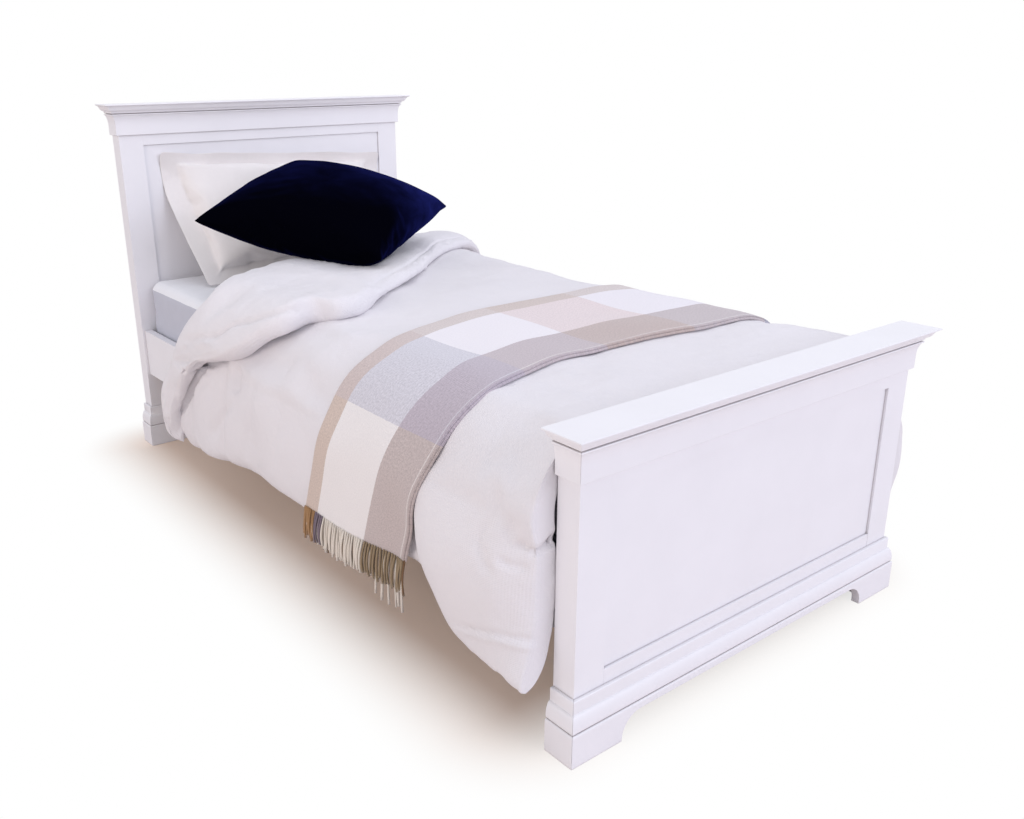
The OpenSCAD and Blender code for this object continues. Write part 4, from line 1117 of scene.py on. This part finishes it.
def throw_ground(tree):
    """Points of the duvet under the throw, row by row from the left end, and outward directions."""
    rows, columns, marks = THROW_ROWS, THROW_COLUMNS, 400
    spots = []
    for i in range(marks + 1):
        q = -THROW_END + 2 * THROW_END * i / marks
        spots.append((q, drape(q, (track(THROW_HEAD, q) + track(THROW_FOOT, q)) / 2)[0]))
    lengths = [0.0]
    for (_, p), (_, r) in zip(spots, spots[1:]):
        lengths.append(lengths[-1] + (r - p).length * 1.05)
    ground, outward = [], []
    at = 0
    for i in range(rows + 1):
        wanted = THROW_LENGTH * i / rows
        while at < marks - 1 and lengths[at + 1] < wanted:
            at += 1
        line, normals = [], []
        for j in range(columns + 1):
            # the left end hangs a little shorter, most of all at its head side
            q = spots[at][0]
            q += (0.15 - 0.10 * j / columns) * smooth_step(-1.6, -THROW_END, q)
            head, foot = track(THROW_HEAD, q), track(THROW_FOOT, q)
            point, up = drape(q, head + (foot - head) * j / columns)
            hit = tree.ray_cast(point + up * 0.2, -up)[0]
            line.append(hit if hit is not None else point + up * 0.05)
            normals.append(up)
        ground.append(line)
        outward.append(normals)
    # the last rows hang straight down from the duvet's side
    for rim, step in ((HANGING_ROWS, -1), (rows - HANGING_ROWS, 1)):
        for n in range(1, HANGING_ROWS + 1):
            for j in range(columns + 1):
                held = ground[rim][j].x * (1 + 0.001 * n)
                spot = ground[rim + step * n][j]
                spot.x = min(spot.x, held) if step < 0 else max(spot.x, held)
    for _ in range(9):
        ground = [[(ground[max(0, i - 1)][j] + ground[min(rows, i + 1)][j]
                    + ground[i][max(0, j - 1)] + ground[i][min(columns, j + 1)]
                    + ground[i][j] * 2) / 6 for j in range(columns + 1)]
                  for i in range(rows + 1)]
    return ground, outward


def folded_place(line, normals, k):
    """Point of the cloth folded in three at step k across it, and its column of the ground: the
    top layer comes first, and the layers are joined by round turns."""
    columns = THROW_COLUMNS
    layer, rest = divmod(k, columns + FOLD_STEPS)
    forth = layer % 2 == 0
    level = (2 - layer) * THROW_LAYER + THROW_LAYER * 1.1
    if rest <= columns:
        j = columns - rest if forth else rest
        return line[j] + normals[j] * level, j
    turn = pi * (rest - columns) / FOLD_STEPS
    j, beside = (0, 1) if forth else (columns, columns - 1)
    away = (line[j] - line[beside]).normalized()
    middle = level - THROW_LAYER / 2
    return (line[j] + normals[j] * (middle + cos(turn) * THROW_LAYER / 2)
            + away * (sin(turn) * THROW_LAYER / 2)), j


class BED_OT_throw(bpy.types.Operator):
    """Folds the wool throw in three, lays it over the duvet and hangs its fringes from both ends"""
    bl_idname = "bed.throw"
    bl_label = "Throw"

    def execute(self, context):
        ground, outward = throw_ground(surface_of(bpy.data.objects["duvet_linen"]))
        total = 3 * THROW_COLUMNS + 2 * FOLD_STEPS
        bm = bmesh.new()
        bmesh.ops.create_grid(bm, x_segments=THROW_ROWS, y_segments=total, size=0.5)
        flat = {}
        for vertex in bm.verts:
            i = round((vertex.co.x + 0.5) * THROW_ROWS)
            k = round((vertex.co.y + 0.5) * total)
            vertex.co, j = folded_place(ground[i], outward[i], k)
            flat[vertex] = (i / THROW_ROWS * THROW_LENGTH, THROW_FOLD * j / THROW_COLUMNS)
        lay_uv(bm, flat.get)
        piece = new_piece("throw_wool", bm, [brushed_wool()])
        cloth_wall(piece, 0.003, 0.0)
        join_to_bed(piece, "throw")
        fringe = make_fringe(ground)
        join_to_bed(fringe, "throw_fringe")
        return {"FINISHED"}


def plain_strand():
    """A closed five-sided tube, 1 long and 1 in radius, as a mesh."""
    bm = bmesh.new()
    bmesh.ops.create_circle(bm, cap_ends=True, segments=5, radius=1)
    ring = bm.edges[:]
    lengths = 6
    for _ in range(lengths):
        pulled = bmesh.ops.extrude_edge_only(bm, edges=ring)["geom"]
        ends = new_verts(pulled)
        ring = [e for e in pulled if isinstance(e, bmesh.types.BMEdge)
                and e.verts[0] in ends and e.verts[1] in ends]
        bmesh.ops.translate(bm, vec=(0, 0, 1 / lengths), verts=ends)
    bmesh.ops.edgeloop_fill(bm, edges=ring)
    bmesh.ops.recalc_face_normals(bm, faces=bm.faces)
    mesh = bpy.data.meshes.new("strand")
    bm.to_mesh(mesh)
    bm.free()
    return mesh


STRANDS = 46
# Distances from the head side that pick the yarn of the back row's strands: cream and dark
CREAM_YARN, DARK_YARN = 0.2, 0.46


def make_fringe(ground):
    """Twisted strands along both ends of the throw, in a front and a back row."""
    bm = bmesh.new()
    uv = bm.loops.layers.uv.verify()
    strand = plain_strand()
    noise.seed_set(7)
    for out_x, row, inner in ((-1, ground[0], ground[1]), (1, ground[-1], ground[-2])):
        out = Vector((out_x, 0, 0))
        for layer in range(2):
            for n in range(STRANDS):
                spot = (n + 0.3 + 0.3 * layer + 0.25 * noise.random()) / STRANDS
                where = spot * THROW_COLUMNS
                j = min(THROW_COLUMNS - 1, int(where))
                top = row[j].lerp(row[j + 1], where - j)
                down = (top - inner[j].lerp(inner[j + 1], where - j)).normalized()
                down = (down * 0.3 + Vector((0, 0, -1))).normalized()
                across = down.cross(out).normalized()
                start = top + out * (THROW_LAYER * (3.0 - 1.6 * layer)) - down * 0.003
                # some strands at the left end's foot side have slipped down from inner layers
                slipped = out_x < 0 and layer == 1 and spot > 0.72 and n % 2 == 0
                reach = 0.068 + 0.014 * noise.random() + (0.045 if slipped else 0.004 * layer)
                if layer == 0:
                    yarn = THROW_FOLD * spot
                else:
                    yarn = CREAM_YARN if slipped or n % 3 else DARK_YARN
                sway, curl = noise.random() * 0.010, noise.random() * 0.008
                known = len(bm.verts)
                bm.from_mesh(strand)
                bm.verts.ensure_lookup_table()
                for vertex in bm.verts[known:]:
                    x, y, t = vertex.co
                    fat = 0.0029 * (1 + 0.2 * sin(t * 34 + n))
                    middle = (start + down * (reach * t) + across * (sway * t * t)
                              + out * (0.003 + curl * sin(3 * t)))
                    vertex.co = middle + across * (x * fat) + out * (y * fat)
                    for loop in vertex.link_loops:
                        loop[uv].uv = (t * reach, yarn)
    bpy.data.meshes.remove(strand)
    return new_piece("throw_fringe_strands", bm, [twisted_yarn()])


# ---- Stage: floor, light and camera

# Name, place, aim, size, power and colour of each soft box
SOFT_BOXES = [
    ("overhead_box", (0.6, -0.3, 3.4), (0, 0, 0.4), (3.6, 3.6), 30, "fbfbff"),
    ("front_box", (3.2, -11.0, 4.9), (0, 0, 0.5), (6.6, 5.1), 505, "edefff"),
    ("left_box", (-4.2, -0.6, 1.9), (0, 0.2, 0.4), (2.2, 2.0), 44, "fff2e6"),
]
# The camera that fits the photo: place in metres, yaw, pitch and roll in radians, and the focal
# length in pixels of a picture 1024 wide
CAMERA_PLACE = (-1.48576, -1.99620, 1.15632)
CAMERA_YAW, CAMERA_PITCH, CAMERA_ROLL = -0.65367, -0.33857, -0.01042
FOCAL_LENGTH = 973.46
# Middle of the floor's shaded patch, half its size without the soft edge, and the edge's two ends
SHADE_MIDDLE, SHADE_HALF, SHADE_EDGE = (0, 0.08, 0), (0.46, 0.88, 0), (-0.05, 0.28)


def studio_floor():
    """Matt floor paint that goes white away from the bed, as an overexposed studio floor does."""
    material, tree, places = start_material("studio_floor")
    shifted = add_node(tree, "VectorMath", {0: places["Object"], 1: SHADE_MIDDLE},
                       operation="SUBTRACT")
    apart = add_node(tree, "VectorMath", {0: shifted}, operation="ABSOLUTE")
    beyond = add_node(tree, "VectorMath", {0: apart, 1: SHADE_HALF}, operation="SUBTRACT")
    outside = add_node(tree, "VectorMath", {0: beyond, 1: (0, 0, 0)}, operation="MAXIMUM")
    reach = add_node(tree, "VectorMath", {0: outside}, operation="LENGTH")
    fade = add_node(tree, "MapRange", {"Value": reach.outputs["Value"],
                                       "From Min": SHADE_EDGE[0], "From Max": SHADE_EDGE[1]},
                    interpolation_type="SMOOTHSTEP")
    direct = add_node(tree, "LightPath").outputs["Is Camera Ray"]
    white = add_node(tree, "Math", {0: fade, 1: direct}, operation="MULTIPLY")
    # the shade under the bed looks brown, but the light that the floor throws up is neutral
    shade = add_node(tree, "Mix", {FACTOR: direct, FIRST: linear("ebe0da"),
                                   SECOND: linear("efd7c4")}, data_type="RGBA")
    matt = add_node(tree, "BsdfDiffuse", {"Color": shade.outputs[MIXED]})
    glow = add_node(tree, "Emission", {"Strength": 1.0})
    mixed = add_node(tree, "MixShader", {0: white, 1: matt, 2: glow})
    add_node(tree, "OutputMaterial", {"Surface": mixed})
    return material


def studio_world():
    """Soft light from all round, behind which the eye sees plain white."""
    world = bpy.data.worlds.new("studio")
    world.use_nodes = True
    tree = world.node_tree
    tree.nodes.clear()
    plain = add_node(tree, "Background", {"Color": (1, 1, 1, 1), "Strength": 1.0})
    soft = add_node(tree, "Background", {"Color": linear("f2f4ff"), "Strength": 0.70})
    ray = add_node(tree, "LightPath").outputs
    seen = ray["Is Camera Ray"]
    for other in ("Is Glossy Ray", "Is Transmission Ray"):
        seen = add_node(tree, "Math", {0: seen, 1: ray[other]}, operation="MAXIMUM")
    mixed = add_node(tree, "MixShader", {0: seen, 1: soft, 2: plain})
    add_node(tree, "OutputWorld", {"Surface": mixed})
    return world


def add_soft_box(scene, name, place, aim, size, power, code):
    data = bpy.data.lights.new(name, "AREA")
    data.shape = "RECTANGLE"
    data.size, data.size_y = size
    data.energy = power
    data.color = linear(code)[:3]
    lamp = bpy.data.objects.new(name, data)
    lamp.location = place
    lamp.rotation_euler = (Vector(aim) - Vector(place)).to_track_quat("-Z", "Y").to_euler()
    scene.collection.objects.link(lamp)


def add_camera(scene):
    data = bpy.data.cameras.new("photo_camera")
    data.sensor_width = 36
    data.lens = FOCAL_LENGTH * data.sensor_width / 1024
    data.shift_x = 0.04454
    data.shift_y = -0.00199
    camera = bpy.data.objects.new("photo_camera", data)
    turn = (Matrix.Rotation(CAMERA_YAW, 4, "Z") @ Matrix.Rotation(pi / 2 + CAMERA_PITCH, 4, "X")
            @ Matrix.Rotation(CAMERA_ROLL, 4, "Z"))
    camera.matrix_world = Matrix.Translation(CAMERA_PLACE) @ turn
    scene.collection.objects.link(camera)
    scene.camera = camera


class BED_OT_stage(bpy.types.Operator):
    """Sets the pale floor, the soft studio light and the camera"""
    bl_idname = "bed.stage"
    bl_label = "Stage"

    def execute(self, context):
        bm = bmesh.new()
        bmesh.ops.create_grid(bm, x_segments=2, y_segments=2, size=14)
        new_piece("studio_floor", bm, [studio_floor()])
        context.scene.world = studio_world()
        for soft_box in SOFT_BOXES:
            add_soft_box(context.scene, *soft_box)
        add_camera(context.scene)
        context.scene.view_settings.view_transform = "Standard"
        return {"FINISHED"}


# ---- Settings, panel and registration

def colour_setting(name, description, code):
    return bpy.props.FloatVectorProperty(name=name, description=description, subtype="COLOR",
                                         size=4, default=linear(code))


class BedColours(bpy.types.PropertyGroup):
    paint: colour_setting("Paint", "Satin paint on the boards and rails", "ecebef")
    pine: colour_setting("Pine", "Bare wood of the slats and ledgers", "dcbf93")
    tape: colour_setting("Tape", "Cotton tape that ties the slats", "d5cdbc")
    ticking: colour_setting("Ticking", "Mattress fabric", "eeece8")
    sheet: colour_setting("Sheet", "Fitted sheet", "eeeff3")
    linen: colour_setting("Duvet Cover", "Waffle cotton of the duvet cover", "e6e3e6")
    pillow: colour_setting("Pillowcase", "Washed cotton of the pillowcase", "eeeae9")
    velvet: colour_setting("Velvet", "Pile of the square cushion", "030309")
    # the sheen colour is painted into the velvet's colour as well as used as its sheen tint
    velvet_sheen: colour_setting("Velvet Sheen", "Colour of the pile at a grazing angle", "191d54")


class BedSizes(bpy.types.PropertyGroup):
    eased_edge: bpy.props.FloatProperty(
        name="Eased Edge", description="Width of the sanded edges", unit="LENGTH", default=0.0011)
    duvet_thickness: bpy.props.FloatProperty(
        name="Duvet Thickness", description="Thickness of one layer of the filled duvet",
        unit="LENGTH", default=0.046)
    pillow_fill: bpy.props.FloatProperty(
        name="Pillow Fill", description="How full the pillow is", subtype="FACTOR", default=0.6)


class BED_PT_panel(bpy.types.Panel):
    """Lists the parts of the bed"""
    bl_label = "Bed"
    bl_space_type = "VIEW_3D"
    bl_region_type = "UI"
    bl_category = "Bed"

    def draw(self, context):
        for operator in OPERATORS:
            self.layout.operator(operator.bl_idname)
        for group in (context.scene.bed_colours, context.scene.bed_sizes):
            for name in group.__annotations__:
                self.layout.prop(group, name)


OPERATORS = [BED_OT_stage, BED_OT_boards, BED_OT_slats, BED_OT_mattress, BED_OT_fitted_sheet,
             BED_OT_duvet, BED_OT_pillow, BED_OT_cushion, BED_OT_throw]
CLASSES = [BedColours, BedSizes, *OPERATORS, BED_PT_panel]


def register():
    for item in CLASSES:
        bpy.utils.register_class(item)
    bpy.types.Scene.bed_colours = bpy.props.PointerProperty(type=BedColours)
    bpy.types.Scene.bed_sizes = bpy.props.PointerProperty(type=BedSizes)


def unregister():
    del bpy.types.Scene.bed_colours
    del bpy.types.Scene.bed_sizes
    for item in reversed(CLASSES):
        bpy.utils.unregister_class(item)


def main():
    register()
    bpy.ops.bed.stage()
    bpy.ops.bed.boards()
    bpy.ops.bed.slats()
    bpy.ops.bed.mattress()
    bpy.ops.bed.fitted_sheet()
    bpy.ops.bed.duvet()
    bpy.ops.bed.pillow()
    bpy.ops.bed.cushion()
    bpy.ops.bed.throw()


if __name__ == "__main__":
    main()
